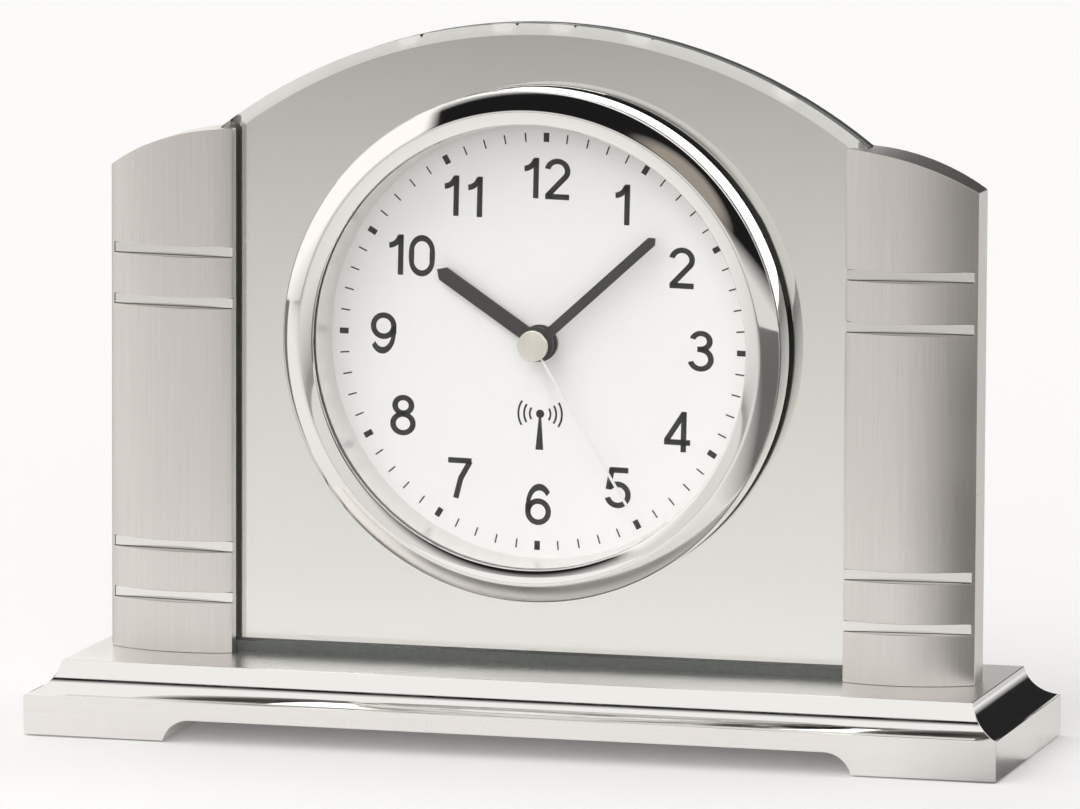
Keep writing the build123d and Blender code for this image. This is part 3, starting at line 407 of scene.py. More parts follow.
def column(side):
    """One column; side is 1 for the right one and -1 for the left one, which is its mirror image."""
    run = COLUMN_SPAN[1] - COLUMN_SPAN[0]
    drop = COLUMN_TOPS[0] - COLUMN_TOPS[1]
    crown_radius = (run ** 2 + drop ** 2) / (2 * drop)
    bpy.ops.mesh.primitive_grid_add(x_subdivisions=COLUMN_STEPS, y_subdivisions=1, size=1)
    piece = bpy.context.object
    foot = plinth_high.z
    for corner in piece.data.vertices:
        x = COLUMN_SPAN[0] + run * (corner.co.x + 0.5)
        bulge = circle_rise(x - COLUMN_SPAN[0], run, COLUMN_BULGE)
        corner.co.y = column_chord(x) - bulge if corner.co.y < 0 else COLUMN_BACK
        corner.co.x = x
        corner.co.z = foot
    bpy.ops.object.mode_set(mode="EDIT")
    bpy.ops.mesh.select_all(action="SELECT")
    bpy.ops.mesh.extrude_region_move(TRANSFORM_OT_translate={"value": (0, 0, COLUMN_TOPS[0] - foot)})
    bpy.ops.object.mode_set(mode="OBJECT")
    face_outwards(piece)
    for corner in piece.data.vertices:
        if corner.co.z > foot + MM:
            along = corner.co.x - COLUMN_SPAN[0]
            corner.co.z = COLUMN_TOPS[0] - crown_radius + sqrt(crown_radius ** 2 - along ** 2)
    (slot_low_x, slot_high_x), (slot_low_y, slot_high_y) = SLOT
    cut(piece, cube("slot", (slot_low_x, slot_low_y, foot / 2), (slot_high_x, slot_high_y, SLOT_TOP)))
    for base in BAND_BASES:
        low = (slot_low_x, -GROOVE_OVERCUT, base - GROOVE_UNDER_BAND)
        groove = cube("groove", low, (GROOVE_END, 0, low[2] + GROOVE_HEIGHT))
        for corner in groove.data.vertices:
            corner.co.y += column_chord(corner.co.x) + GROOVE_DEPTH
        cut(piece, groove)
    if side < 0:
        piece.scale = (-1, 1, 1)
        select_only(piece)
        bpy.ops.object.transform_apply(location=True, rotation=True, scale=True)
        face_outwards(piece)
    ease_edges(piece, COLUMN_EDGE, limit=30)
    return piece


for name, side in (("right_column", 1), ("left_column", -1)):
    body = column(side)
    body.name = name + "_body"
    set_finish(body, COLUMN_SATIN)
    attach(body, "clock_case")
    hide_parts(name)
    set_finish(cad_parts[name + "_bands"], BRIGHT_METAL)

SCREW_STEEL = speckled(
    "screw_steel", (0.35, 0.35, 0.36), (0.55, 0.55, 0.56), 1800, 0.35, 0.01 * MM, metallic=1.0)
set_finish(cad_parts["column_screws"], SCREW_STEEL)


# ------------------------------------------------------------------ glass and mirror
# Arched 4.5 mm float glass with a round hole and a ground bevel, silvered on its back.
# A black board behind the silver keeps the light out; all three slide into the slots of the columns.

def clear_glass(name, colour, ior=1.52):
    """Clear glass with wiping marks; lamps reach what is behind it."""
    material, tree, shader = node_material(name, colour, roughness=0.0)
    shader.inputs["Transmission Weight"].default_value = 1.0
    shader.inputs["IOR"].default_value = ior
    handling = tree.nodes.new("ShaderNodeGroup")
    handling.node_tree = HANDLING
    handling.inputs["Size"].default_value = 35.0
    rough = remap(tree, handling.outputs["Marks"], 0.0, 0.012)
    tree.links.new(rough, shader.inputs["Roughness"])
    path = tree.nodes.new("ShaderNodeLightPath")
    clear = tree.nodes.new("ShaderNodeBsdfTransparent")
    mix = tree.nodes.new("ShaderNodeMixShader")
    tree.links.new(path.outputs["Is Shadow Ray"], mix.inputs[0])
    tree.links.new(shader.outputs[0], mix.inputs[1])
    tree.links.new(clear.outputs[0], mix.inputs[2])
    tree.links.new(mix.outputs[0], tree.nodes["Material Output"].inputs["Surface"])
    return material


def merged_copy(node, name, dissolve=False):
    """Copy of a CAD node's mesh as an object of its own, with its doubled corners merged."""
    piece = bpy.data.objects.new(name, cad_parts[node].data.copy())
    bpy.context.scene.collection.objects.link(piece)
    select_only(piece)
    bpy.ops.object.mode_set(mode="EDIT")
    bpy.ops.mesh.select_all(action="SELECT")
    bpy.ops.mesh.remove_doubles(threshold=0.001 * MM)
    if dissolve:
        bpy.ops.mesh.dissolve_limited(angle_limit=radians(0.5))
    bpy.ops.object.mode_set(mode="OBJECT")
    return piece


AXIS_Z = 108.05 * MM
HOLE_REACH = 67.0 * MM
EDGE_ON = 0.1
BEVEL_FORWARD = -0.5
BEVEL_DOWN = -0.2
SILVER_GAP = 0.03 * MM

PLATE_GLASS = clear_glass("plate_glass", (0.978, 0.988, 0.982))
GLASS_EDGE_AND_SHADE = speckled("glass_edge_and_painted_shade", (0.13, 0.14, 0.13), (0.19, 0.205, 0.19), 700, 0.25, 0.01 * MM)
glass = merged_copy("glass_panel", "arched_glass")
set_finish(glass, PLATE_GLASS, GLASS_EDGE_AND_SHADE)
# The edge faces get the glass's dark green edge colour. The foot bevel's faces that point forward and down
# get the same dark colour as painted shade.
for face in glass.data.polygons:
    from_axis = hypot(face.center.x, face.center.z - AXIS_Z)
    rim = abs(face.normal.y) < EDGE_ON and from_axis > HOLE_REACH
    foot_bevel_painted_shade = face.normal.y < BEVEL_FORWARD and face.normal.z < BEVEL_DOWN
    face.material_index = int(rim or foot_bevel_painted_shade)
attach(glass, "clock_case")
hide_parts("glass_panel")

# The silver's front is drawn back a little from the glass, so that the two faces don't share a plane.
SILVERING = polished_metal("mirror_silvering", (0.86, 0.85, 0.83), 0.01, depth=0.0)
silver = merged_copy("silvering", "mirror_coating")
silver_low, silver_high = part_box("silvering")
squeeze = 1 - SILVER_GAP / (silver_high.y - silver_low.y)
for corner in silver.data.vertices:
    corner.co.y = silver_high.y + (corner.co.y - silver_high.y) * squeeze
set_finish(silver, SILVERING)
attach(silver, "clock_case")
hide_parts("silvering")

BACKING = speckled("backing_board", (0.022, 0.021, 0.020), (0.060, 0.057, 0.054), 900, 0.8, 0.05 * MM)
set_finish(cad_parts["backing_board"], BACKING)


# ------------------------------------------------------------------ bezel, gasket, crystal, reflector
# Spun and chromed brass bezel with a ridge, pressed on a rubber gasket; it holds a flat mineral crystal.
# Behind the crystal a satin ring leads down to the dial.

CHROME = polished_metal("chrome", (0.87, 0.86, 0.84), 0.045)
BEZEL_PROFILE = [
    (60.15, -17.2), (64.1, -18.2), (68.9, -15.3), (69.4, -14.7), (69.4, -5.1), (62.2, -5.1),
    (62.2, -16.0), (60.15, -16.0),
]
BEZEL_EDGE = 0.6 * MM
BOSS_RADIUS = 2.0 * MM
BOSS_CENTRE = 64.25 * MM / sqrt(2)
BOSS_START = -6.0 * MM
BOSS_END = 2.5 * MM


def spun(name, profile, steps=192):
    """Ring turned about the dial axis from a closed profile of (radius, y) in millimetres."""
    bpy.ops.mesh.primitive_circle_add(vertices=len(profile))
    piece = bpy.context.object
    piece.name = name
    for corner, (radius, y) in zip(piece.data.vertices, profile):
        corner.co = (radius * MM, y * MM, AXIS_Z)
    bpy.ops.object.mode_set(mode="EDIT")
    bpy.ops.mesh.select_all(action="SELECT")
    bpy.ops.mesh.spin(steps=steps, angle=2 * pi, center=(0, 0, AXIS_Z), axis=(0, 1, 0))
    bpy.ops.mesh.select_all(action="SELECT")
    bpy.ops.mesh.remove_doubles(threshold=0.01 * MM)
    bpy.ops.object.mode_set(mode="OBJECT")
    face_outwards(piece)
    return piece


def round_bar(name, radius, start, end, vertices):
    """Cylinder along Y between two points, with its place in its mesh."""
    start, end = Vector(start), Vector(end)
    bpy.ops.mesh.primitive_cylinder_add(
        vertices=vertices, radius=radius, depth=(end - start).length, location=(start + end) / 2,
        rotation=(pi / 2, 0, 0))
    bpy.ops.object.transform_apply(location=True, rotation=True, scale=True)
    piece = bpy.context.object
    piece.name = name
    return piece


def join_pieces(name, pieces):
    """Joins pieces into one object."""
    bpy.ops.object.select_all(action="DESELECT")
    for piece in pieces:
        piece.select_set(True)
    bpy.context.view_layer.objects.active = pieces[0]
    bpy.ops.object.join()
    joined = bpy.context.object
    joined.name = name
    return joined


bezel = spun("bezel_body", BEZEL_PROFILE)
ease_edges(bezel, BEZEL_EDGE, segments=4, limit=20, flat_faces=False)
bosses = []
for boss_x in (-BOSS_CENTRE, BOSS_CENTRE):
    for boss_z in (AXIS_Z - BOSS_CENTRE, AXIS_Z + BOSS_CENTRE):
        start, end = (boss_x, BOSS_START, boss_z), (boss_x, BOSS_END, boss_z)
        bosses.append(round_bar("boss", BOSS_RADIUS, start, end, 32))
bezel = join_pieces("bezel_body", [bezel, *bosses])
set_finish(bezel, CHROME)
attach(bezel, "clock_case")
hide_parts("bezel_ring")

RUBBER = speckled("seal_rubber", (0.012, 0.012, 0.012), (0.03, 0.03, 0.03), 1500, 0.7, 0.03 * MM)
set_finish(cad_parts["bezel_gasket"], RUBBER)
CRYSTAL = clear_glass("crystal_glass", (0.99, 0.99, 0.99), ior=1.33)
set_finish(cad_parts["crystal"], CRYSTAL)


# A wave texture of scale 1 repeats at this distance.
RING_WAVE_LENGTH = pi / 10


def turned_metal(name, dark, light, roughness, spacing, depth, metallic=1.0):
    """Lathe-turned metal: rings at this spacing about the dial axis, in colour and relief."""
    material, tree, shader = node_material(name, light, metallic=metallic, roughness=roughness)
    place = tree.nodes.new("ShaderNodeTexCoord")
    centre = tree.nodes.new("ShaderNodeMapping")
    centre.inputs["Location"].default_value = (0, 0, -AXIS_Z)
    tree.links.new(place.outputs["Object"], centre.inputs["Vector"])
    rings = tree.nodes.new("ShaderNodeTexWave")
    rings.wave_type = "RINGS"
    rings.rings_direction = "Y"
    rings.inputs["Scale"].default_value = RING_WAVE_LENGTH / spacing
    rings.inputs["Distortion"].default_value = 1.5
    rings.inputs["Detail"].default_value = 2.0
    rings.inputs["Detail Scale"].default_value = 2.0
    tree.links.new(centre.outputs["Vector"], rings.inputs["Vector"])
    colour = blend_colours(tree, rings.outputs["Fac"], dark, light)
    tree.links.new(colour, shader.inputs["Base Color"])
    bump = tree.nodes.new("ShaderNodeBump")
    bump.inputs["Strength"].default_value = 0.5
    bump.inputs["Distance"].default_value = depth
    tree.links.new(rings.outputs["Fac"], bump.inputs["Height"])
    tree.links.new(bump.outputs["Normal"], shader.inputs["Normal"])
    return material


REFLECTOR = turned_metal(
    "satin_reflector", (0.84, 0.83, 0.81), (0.91, 0.90, 0.88), 0.30, 1.6 * MM, 0.004 * MM, metallic=0.55)
set_finish(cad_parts["reflector_ring"], REFLECTOR)


# ------------------------------------------------------------------ dial and its printing
# Aluminium dial sprayed matt white; numerals, a minute track and a radio sign are screen-printed in black.
# The printing sits a touch clockwise of upright.

DIAL_PAINT = speckled("dial_paint", (0.86, 0.85, 0.835), (0.89, 0.88, 0.865), 1400, 0.55, 0.006 * MM)
set_finish(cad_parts["dial"], DIAL_PAINT)
INK = speckled("printing_ink", (0.006, 0.006, 0.005), (0.012, 0.011, 0.010), 2500, 0.65, 0.004 * MM)

dial_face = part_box("dial")[0].y
INK_THICKNESS = 0.03 * MM
INK_SINK = 0.01 * MM
PRINT_DEPTH = INK_THICKNESS + INK_SINK
PRINT_MIDDLE = dial_face + (INK_SINK - INK_THICKNESS) / 2
PRINT_TURN = radians(1.1)
NUMERAL_HEIGHT = 11.0 * MM
NUMERAL_RADIUS = 44.4 * MM
TEN_INSET = 1.2 * MM
MARK_INNER = 54.3 * MM
MARK_OUTER = 56.8 * MM
HOUR_MARK_WIDTH = 1.55 * MM
MINUTE_MARK_WIDTH = 0.4 * MM


def on_dial(radius, turn):
    """X and Z at a radius and a clockwise turn from twelve on the printed dial."""
    return radius * sin(turn + PRINT_TURN), AXIS_Z + radius * cos(turn + PRINT_TURN)


# Strokes and figures are measured in numeral heights.
STROKE = 0.138
DIGIT_ADVANCE = 0.60
BOW_FACET = 9


def bar_stroke(start, end):
    """Straight stroke between two points (x, z) from the middle of the numeral's foot."""
    run, rise = end[0] - start[0], end[1] - start[1]
    middle = ((start[0] + end[0]) / 2, 0, (start[1] + end[1]) / 2)
    bpy.ops.mesh.primitive_cube_add(
        size=1, location=middle, rotation=(0, atan2(run, rise), 0), scale=(STROKE, 1, hypot(run, rise)))
    bpy.ops.object.transform_apply(location=True, rotation=True, scale=True)
    return bpy.context.object


def bow_stroke(centre, reach, start, sweep, width=STROKE):
    """Bowed stroke about a centre; reach is (x, z), angles are degrees anticlockwise from the right."""
    radius = (reach[0] + reach[1]) / 2
    bpy.ops.mesh.primitive_plane_add(size=1, location=(radius, 0, 0))
    bpy.ops.object.transform_apply(location=True, rotation=True, scale=True)
    piece = bpy.context.object
    bpy.ops.object.mode_set(mode="EDIT")
    bpy.ops.mesh.select_all(action="SELECT")
    bpy.ops.transform.resize(value=(width, 1, 1), center_override=(radius, 0, 0))
    bpy.ops.transform.rotate(value=radians(start), orient_axis="Y", center_override=(0, 0, 0))
    facets = int(abs(sweep) / BOW_FACET) + 1
    bpy.ops.mesh.spin(steps=facets, angle=radians(sweep), center=(0, 0, 0), axis=(0, 1, 0))
    bpy.ops.mesh.select_all(action="SELECT")
    bpy.ops.mesh.normals_make_consistent(inside=False)
    bpy.ops.transform.resize(value=(reach[0] / radius, 1, reach[1] / radius), center_override=(0, 0, 0))
    bpy.ops.transform.translate(value=(centre[0], 0, centre[1]))
    bpy.ops.object.mode_set(mode="OBJECT")
    return piece


def loop(centre, reach):
    """Closed bow, as two half turns."""
    return [("bow", centre, reach, 0, 180), ("bow", centre, reach, 180, 180)]


DIGITS = {
    "0": [("bow", (0, 0.62), (0.265, 0.3175), 0, 180), ("bow", (0, 0.38), (0.265, 0.3175), 180, 180),
          ("bar", (-0.265, 0.38), (-0.265, 0.62)), ("bar", (0.265, 0.38), (0.265, 0.62))],
    "1": [("bar", (0.06, 0), (0.06, 1)), ("bow", (-0.26, 1.03), (0.30, 0.31), -86, 72)],
    "2": [("bow", (0, 0.70), (0.255, 0.2375), -38, 208), ("bar", (0.225, 0.585), (-0.235, 0.09)),
          ("bar", (-0.30, 0.0625), (0.31, 0.0625))],
    "3": [("bow", (-0.01, 0.745), (0.22, 0.1925), -90, 255),
          ("bow", (-0.01, 0.2975), (0.26, 0.235), -165, 255), ("bar", (-0.10, 0.545), (0, 0.545))],
    "4": [("bar", (0.15, 0), (0.15, 1)), ("bar", (0.145, 0.955), (-0.285, 0.27)),
          ("bar", (-0.34, 0.2375), (0.32, 0.2375))],
    "5": [("bar", (-0.195, 0.9375), (0.255, 0.9375)), ("bar", (-0.155, 0.99), (-0.245, 0.45)),
          ("bow", (-0.005, 0.325), (0.265, 0.2625), -163, 303)],
    "6": [*loop((0.005, 0.325), (0.26, 0.2625)), ("bow", (0.03, 0.5), (0.285, 0.4375), 38, 142),
          ("bar", (-0.255, 0.33), (-0.255, 0.51))],
    "7": [("bar", (-0.30, 0.9375), (0.30, 0.9375)), ("bar", (0.265, 0.93), (0.035, 0.50)),
          ("bar", (0.04, 0.53), (-0.085, 0))],
    "8": [*loop((0, 0.745), (0.21, 0.1925)), *loop((0, 0.2925), (0.255, 0.23))],
    "9": [*loop((-0.005, 0.675), (0.26, 0.2625)), ("bow", (-0.03, 0.5), (0.285, 0.4375), 218, 142),
          ("bar", (0.255, 0.67), (0.255, 0.49))],
}
STROKE_MAKERS = {"bar": bar_stroke, "bow": bow_stroke}


def lay_print(piece, x, z, size=MM):
    """Puts a flat print drawn about the origin on the dial, at its size and turned as the printing is."""
    piece.scale = (size, PRINT_DEPTH, size)
    piece.rotation_euler = (0, PRINT_TURN, 0)
    piece.location = (x, PRINT_MIDDLE, z)
    select_only(piece)
    bpy.ops.object.transform_apply(location=True, rotation=True, scale=True)
    return piece


def numeral(hour):
    """One upright numeral of strokes run together, printed at its hour."""
    figures = str(hour)
    strokes = []
    for place, digit in enumerate(figures):
        shift = (place - (len(figures) - 1) / 2) * DIGIT_ADVANCE
        for kind, *shape in DIGITS[digit]:
            stroke = STROKE_MAKERS[kind](*shape)
            stroke.location.x = shift
            strokes.append(stroke)
    piece = join_pieces("numeral", strokes)
    bpy.ops.object.transform_apply(location=True, rotation=True, scale=True)
    radius = NUMERAL_RADIUS - TEN_INSET * (hour == 10)
    x, z = on_dial(radius, radians(30 * hour))
    half = NUMERAL_HEIGHT / 2
    return lay_print(piece, x - sin(PRINT_TURN) * half, z - cos(PRINT_TURN) * half, NUMERAL_HEIGHT)


numerals = join_pieces("hour_numerals", [numeral(hour) for hour in range(1, 13)])

marks = []
for minute in range(60):
    width = HOUR_MARK_WIDTH if minute % 5 == 0 else MINUTE_MARK_WIDTH
    turn = radians(6 * minute)
    x, z = on_dial((MARK_INNER + MARK_OUTER) / 2, turn)
    bpy.ops.mesh.primitive_cube_add(
        size=1, location=(x, PRINT_MIDDLE, z), rotation=(0, turn + PRINT_TURN, 0),
        scale=(width, PRINT_DEPTH, MARK_OUTER - MARK_INNER))
    marks.append(bpy.context.object)
track = join_pieces("minute_track", marks)
bpy.ops.object.transform_apply(location=True, rotation=True, scale=True)

# The radio sign is a ball on a mast with waves on both sides, drawn in millimetres about the ball.
SIGN_RADIUS = 19.6 * MM
SIGN_BALL = 1.15
SIGN_WAVES = (2.9, 4.5, 6.1)
WAVE_HALF_ANGLE = 33
WAVE_WIDTH = 0.55
MAST_MIDDLE = -5.4
MAST_HALF_HEIGHT = 4.4
MAST_HALF_WIDTHS = {1: 0.35, -1: 1.1}


def taper(piece, middle, half_height, half_widths):
    """Shapes a cube into a taper, with its half widths at the top (1) and at the foot (-1)."""
    for corner in piece.data.vertices:
        end = 1 if corner.co.z > middle else -1
        corner.co.x = (1 if corner.co.x > 0 else -1) * half_widths[end]
        corner.co.z = middle + end * half_height


bpy.ops.mesh.primitive_cylinder_add(vertices=40, radius=SIGN_BALL, depth=1, rotation=(pi / 2, 0, 0))
bpy.ops.object.transform_apply(location=True, rotation=True, scale=True)
ball = bpy.context.object
mast = cube("mast", (-0.5, -0.5, MAST_MIDDLE - 0.5), (0.5, 0.5, MAST_MIDDLE + 0.5))
taper(mast, MAST_MIDDLE, MAST_HALF_HEIGHT, MAST_HALF_WIDTHS)
waves = [
    bow_stroke((0, 0), (wave, wave), side - WAVE_HALF_ANGLE, 2 * WAVE_HALF_ANGLE, WAVE_WIDTH)
    for side in (0, 180) for wave in SIGN_WAVES
]
sign = join_pieces("radio_sign", [ball, mast, *waves])
lay_print(sign, *on_dial(SIGN_RADIUS, pi))

for print_piece in (numerals, track, sign):
    set_finish(print_piece, INK)
    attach(print_piece, "clock_case")


# ------------------------------------------------------------------ hands
# Hour and minute hands stamped from brass sheet and painted satin black.
# The second hand is a white blade under a turned cap, pressed with its sleeve on the second arbor.

HAND_PAINT = speckled("hand_paint", (0.014, 0.013, 0.012), (0.026, 0.024, 0.022), 3000, 0.5, 0.004 * MM)
for name in ("hour_hand", "minute_hand"):
    set_finish(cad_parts[name], HAND_PAINT)
HAND_WHITE = speckled("hand_white", (0.80, 0.79, 0.76), (0.88, 0.87, 0.84), 1500, 0.4, 0.004 * MM)
CAP_METAL = turned_metal("turned_cap", (0.70, 0.67, 0.59), (0.90, 0.87, 0.79), 0.22, 0.35 * MM, 0.01 * MM)
SECOND_TURN = radians(148.3)
SECOND_REACH = 50.5 * MM
BLADE_HALF_WIDTHS = {-1: 0.26 * MM, 1: 0.36 * MM}
BLADE_FRONT = -11.0 * MM
BLADE_BACK = -10.7 * MM
CAP_RADIUS = 4.2 * MM
CAP_FRONT = -12.0 * MM
CAP_EDGE = 0.3 * MM
SLEEVE_RADIUS = 1.1 * MM
SLEEVE_BACK = -8.8 * MM

blade = cube("second_blade", (-MM, BLADE_FRONT, 0), (MM, BLADE_BACK, SECOND_REACH))
taper(blade, SECOND_REACH / 2, SECOND_REACH / 2, BLADE_HALF_WIDTHS)
blade.rotation_euler = (0, SECOND_TURN, 0)
blade.location = (0, 0, AXIS_Z)
select_only(blade)
bpy.ops.object.transform_apply(location=True, rotation=True, scale=True)
set_finish(blade, HAND_WHITE)

cap = round_bar("second_cap", CAP_RADIUS, (0, CAP_FRONT, AXIS_Z), (0, BLADE_FRONT, AXIS_Z), 96)
ease_edges(cap, CAP_EDGE, segments=3)
sleeve = round_bar("sleeve", SLEEVE_RADIUS, (0, BLADE_FRONT, AXIS_Z), (0, SLEEVE_BACK, AXIS_Z), 48)
cap = join_pieces("second_cap", [cap, sleeve])
set_finish(cap, CAP_METAL)
for piece in (blade, cap):
    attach(piece, "second_hand_set")
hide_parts("second_hand")


# ------------------------------------------------------------------ movement, housing and what is inside
# Moulded black shells over the gear train, the two stepping motors, the receiver and the cell.
# The shells have eased edges; the small parts inside are stamped, wound or moulded to their plain shapes.

BLACK_PLASTIC = speckled("black_plastic", (0.02, 0.02, 0.021), (0.045, 0.045, 0.046), 1600, 0.36, 0.02 * MM)
GEAR_PLASTIC = speckled("gear_plastic", (0.78, 0.77, 0.72), (0.85, 0.84, 0.80), 1200, 0.4, 0.01 * MM)
COPPER = speckled("copper_wire", (0.55, 0.22, 0.09), (0.8, 0.4, 0.2), 3000, 0.35, 0.03 * MM, metallic=1.0)
BOARD = speckled("board_green", (0.01, 0.09, 0.03), (0.02, 0.14, 0.05), 700, 0.45, 0.01 * MM)
FERRITE = speckled("ferrite", (0.03, 0.028, 0.027), (0.06, 0.055, 0.05), 1500, 0.6, 0.03 * MM)
MAGNET = speckled("rotor_magnet", (0.09, 0.09, 0.1), (0.16, 0.16, 0.17), 1500, 0.4, 0.01 * MM, metallic=1.0)
CELL = speckled("cell_jacket", (0.02, 0.06, 0.16), (0.03, 0.08, 0.22), 500, 0.35, 0.01 * MM)
BUTTON_GREY = speckled("button_grey", (0.30, 0.30, 0.31), (0.38, 0.38, 0.39), 1500, 0.5, 0.01 * MM)

for name, body_name, edge_width in (
    ("rear_housing", "clock_case", 0.3 * MM),
    ("movement_back_case", "clock_case", 0.25 * MM),
    ("battery_cover", "battery_cover", 0.15 * MM),
):
    shell = merged_copy(name, name + "_moulding", dissolve=True)
    ease_edges(shell, edge_width, limit=40)
    set_finish(shell, BLACK_PLASTIC)
    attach(shell, body_name)
    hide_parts(name)

INNER_FINISHES = {
    BLACK_PLASTIC: ["movement_front_case", "tact_switches"],
    GEAR_PLASTIC: ["gear_bridge", "second_idler", "second_wheel", "minute_idler", "minute_wheel",
                   "minute_work_wheel", "hour_wheel"],
    COPPER: ["antenna_coil", "second_coil", "minute_coil"],
    BOARD: ["circuit_board"],
    FERRITE: ["antenna_rod"],
    MAGNET: ["second_rotor", "minute_rotor"],
    CELL: ["battery_cell"],
    BUTTON_GREY: ["set_button", "signal_button", "reset_button"],
    SCREW_STEEL: ["housing_screws", "movement_washer", "second_stator", "minute_stator",
                  "contact_positive", "contact_negative"],
    BRIGHT_METAL: ["movement_nut"],
}
for material, names in INNER_FINISHES.items():
    for name in names:
        set_finish(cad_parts[name], material)


# ------------------------------------------------------------------ studio
# White sweep, a wide soft window on the left, white behind, and a dark room around the camera.
# Two wide suns light what isn't mirror-bright: one high on the left, one almost level from the front.

AIM = Vector((0, 0, 0.095))
DISTANCE = 2.63354
PAN = Vector((1.14 * MM, 4.29 * MM, 0))
FOCAL_LENGTH = 324.73
SENSOR_WIDTH = 36
CAMERA_DROP = radians(7.63)
CAMERA_SWING = radians(15.15)
CAMERA_ROLL = radians(0.25)

bpy.ops.object.camera_add(rotation=(pi / 2 - CAMERA_DROP, 0, CAMERA_SWING))
camera = bpy.context.object
camera.data.lens = FOCAL_LENGTH
camera.data.sensor_width = SENSOR_WIDTH
camera.data.clip_end = 50
turn = camera.rotation_euler.to_matrix() @ Matrix.Rotation(CAMERA_ROLL, 3, "Z")
camera.location = AIM + turn @ (Vector((0, 0, DISTANCE)) - PAN)
camera.rotation_euler = turn.to_euler()
bpy.context.scene.camera = camera


def calculate(tree, operation, first, second):
    """Result of a maths node; first and second are numbers or sockets."""
    node = tree.nodes.new("ShaderNodeMath")
    node.operation = operation
    for socket, value in zip(node.inputs, (first, second)):
        if isinstance(value, float):
            socket.default_value = value
        else:
            tree.links.new(value, socket)
    return node.outputs[0]


# Painted shade: the paper's mirror image in the metal is painted dark far in front, a little darker behind,
# and darkest right of a line from TURN_X forwards.
FLOOR_SIZE = 24.0
FRONT_FADE = (-2.2, -0.12)
REAR_FADE = (0.0, 0.25)
RIGHT_FADE = (-0.15, 0.85)
TURN_X = 0.11
PAPER_NEAR = (0.90, 0.89, 0.88)
PAPER_FAR_SHADE = (0.30, 0.29, 0.28)
PAPER_BEHIND_SHADE = (0.62, 0.61, 0.60)
PAPER_RIGHT_SHADE = (0.06, 0.057, 0.053)
PAPER_SEEN = (0.95, 0.95, 0.95)
PAPER_GLOW = 0.07


def sweep_paper():
    """White paper whose mirror image in the metal carries painted shade, set by its place on the floor."""
    material, tree, shader = node_material("sweep_paper", PAPER_SEEN, roughness=0.9)
    place = tree.nodes.new("ShaderNodeTexCoord")
    axes = tree.nodes.new("ShaderNodeSeparateXYZ")
    tree.links.new(place.outputs["Object"], axes.inputs[0])
    x, y = axes.outputs["X"], axes.outputs["Y"]
    bearing = calculate(
        tree, "DIVIDE", calculate(tree, "SUBTRACT", x, TURN_X), calculate(tree, "MULTIPLY", y, -1.0))
    # Painted shade in the paper's mirror image only: darker far in front, behind, and right of TURN_X.
    reflected_shade = blend_colours(tree, remap(tree, y, 0.0, 1.0, FRONT_FADE), PAPER_FAR_SHADE, PAPER_NEAR)
    reflected_shade = blend_colours(tree, remap(tree, y, 0.0, 1.0, REAR_FADE), reflected_shade, PAPER_BEHIND_SHADE)
    reflected_shade = blend_colours(tree, remap(tree, bearing, 0.0, 1.0, RIGHT_FADE), reflected_shade, PAPER_RIGHT_SHADE)
    path = tree.nodes.new("ShaderNodeLightPath")
    reflected_shade = blend_colours(tree, path.outputs["Is Glossy Ray"], PAPER_SEEN, reflected_shade)
    tree.links.new(reflected_shade, shader.inputs["Base Color"])
    shader.inputs["Emission Color"].default_value = (1, 1, 1, 1)
    shader.inputs["Emission Strength"].default_value = PAPER_GLOW
    return material


bpy.ops.mesh.primitive_plane_add(size=FLOOR_SIZE)
floor = bpy.context.object
floor.name = "floor"
set_finish(floor, sweep_paper())
floor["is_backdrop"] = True

# Each sun: tilt about X, Y and Z, strength and width of its disc, in degrees.
SUNS = [((38, -24, 0), 1.0, 40), ((82, 0, 8), 0.95, 50)]
for tilt, strength, disc in SUNS:
    bpy.ops.object.light_add(type="SUN", rotation=[radians(part) for part in tilt])
    sun = bpy.context.object
    sun.data.energy = strength
    sun.data.angle = radians(disc)
    sun.visible_glossy = False

# A small card lies over the front cove, for its mirror image in the cove alone; from above it is clear.
CARD_MIDDLE = (-50 * MM, -158 * MM, 60 * MM)
CARD_SIZE = (0.7, 0.208, 1)


def card_light():
    """Light from the underside of a card that is clear from above."""
    material, tree, _ = node_material("card_light", (0.5, 0.5, 0.5))
    side = tree.nodes.new("ShaderNodeNewGeometry")
    glow = tree.nodes.new("ShaderNodeEmission")
    glow.inputs["Color"].default_value = (1.0, 0.99, 0.97, 1)
    clear = tree.nodes.new("ShaderNodeBsdfTransparent")
    mix = tree.nodes.new("ShaderNodeMixShader")
    tree.links.new(side.outputs["Backfacing"], mix.inputs[0])
    tree.links.new(clear.outputs[0], mix.inputs[1])
    tree.links.new(glow.outputs[0], mix.inputs[2])
    tree.links.new(mix.outputs[0], tree.nodes["Material Output"].inputs["Surface"])
    return material


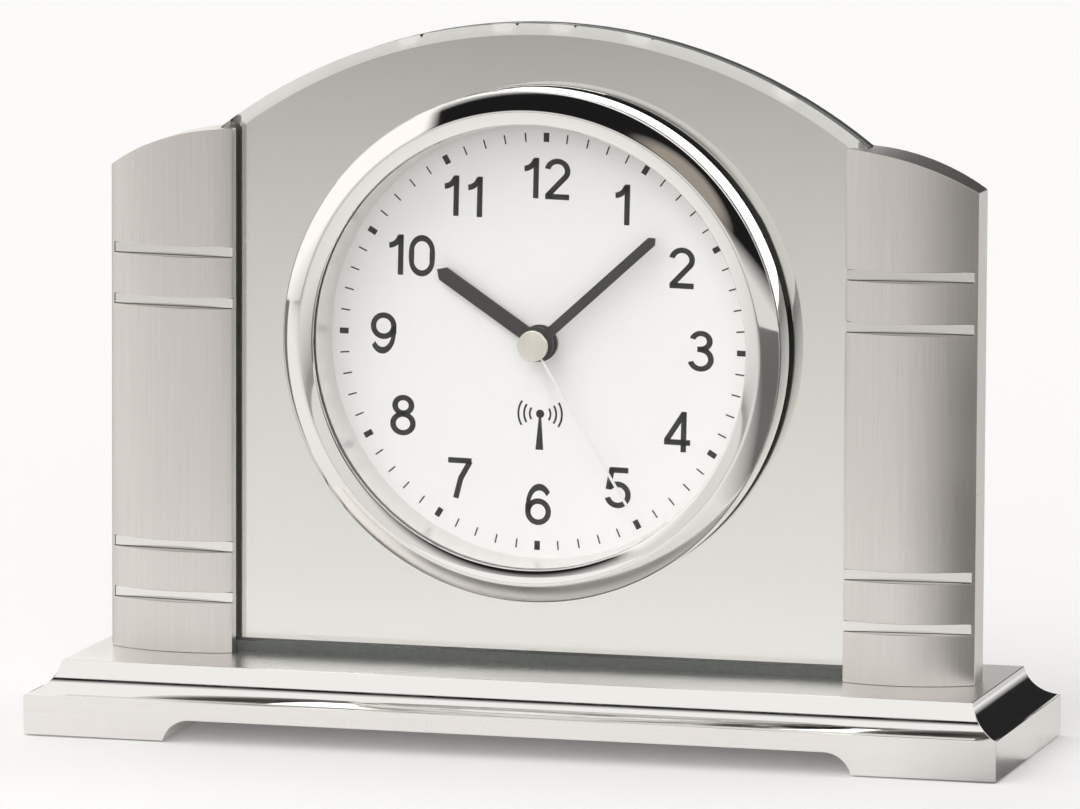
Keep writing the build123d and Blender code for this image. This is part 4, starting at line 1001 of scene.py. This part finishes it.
bpy.ops.mesh.primitive_plane_add(size=1, location=CARD_MIDDLE)
card = bpy.context.object
card.name = "cove_card"
card.scale = CARD_SIZE
set_finish(card, card_light())
card.visible_camera = False
card.visible_diffuse = False
card.visible_shadow = False
card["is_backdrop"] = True

world = bpy.data.worlds.new("studio")
bpy.context.scene.world = world
world.use_nodes = True
sky = world.node_tree
sky_place = sky.nodes.new("ShaderNodeTexCoord")

# Each layer of the room: its direction, the cosines to it at which it starts and is full, and its colour.
ROOM = (0.012, 0.012, 0.012)
WHITE_WALL = ((0, 1, 0.15), (-0.15, 0.0), (1.0, 0.99, 0.97))
LEFT_WINDOW = ((-0.9, 0.1, -0.42), (0.20, 0.26), (1.15, 1.12, 1.08))
BEIGE_CARD = ((0.40, -0.69, 0.58), (0.955, 0.985), (0.36, 0.32, 0.28))
DARK_FLAG = ((0.10, 0.92, 0.38), (0.915, 0.945), (0.02, 0.02, 0.02))
PALE_GROUND = ((0, -0.4, -1), (-0.1, 0.1), (0.8, 0.78, 0.76))


def facing(direction, cosines):
    """Mask that is 0 away from a direction and 1 near it, and rises between two cosines to it."""
    dot = sky.nodes.new("ShaderNodeVectorMath")
    dot.operation = "DOT_PRODUCT"
    dot.inputs[1].default_value = Vector(direction).normalized()
    sky.links.new(sky_place.outputs["Generated"], dot.inputs[0])
    return remap(sky, dot.outputs["Value"], 0.0, 1.0, cosines)


studio = ROOM
for direction, cosines, colour in (WHITE_WALL, LEFT_WINDOW, BEIGE_CARD, DARK_FLAG, PALE_GROUND):
    studio = blend_colours(sky, facing(direction, cosines), studio, colour)
background = sky.nodes["Background"]
sky.links.new(studio, background.inputs["Color"])
seen = sky.nodes.new("ShaderNodeBackground")
seen.inputs["Color"].default_value = (1, 1, 1, 1)
sky_path = sky.nodes.new("ShaderNodeLightPath")
choose = sky.nodes.new("ShaderNodeMixShader")
sky.links.new(sky_path.outputs["Is Camera Ray"], choose.inputs[0])
sky.links.new(background.outputs[0], choose.inputs[1])
sky.links.new(seen.outputs[0], choose.inputs[2])
sky.links.new(choose.outputs[0], sky.nodes["World Output"].inputs["Surface"])

bpy.context.scene.view_settings.view_transform = "Standard"

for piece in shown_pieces():
    piece.select_set(False)
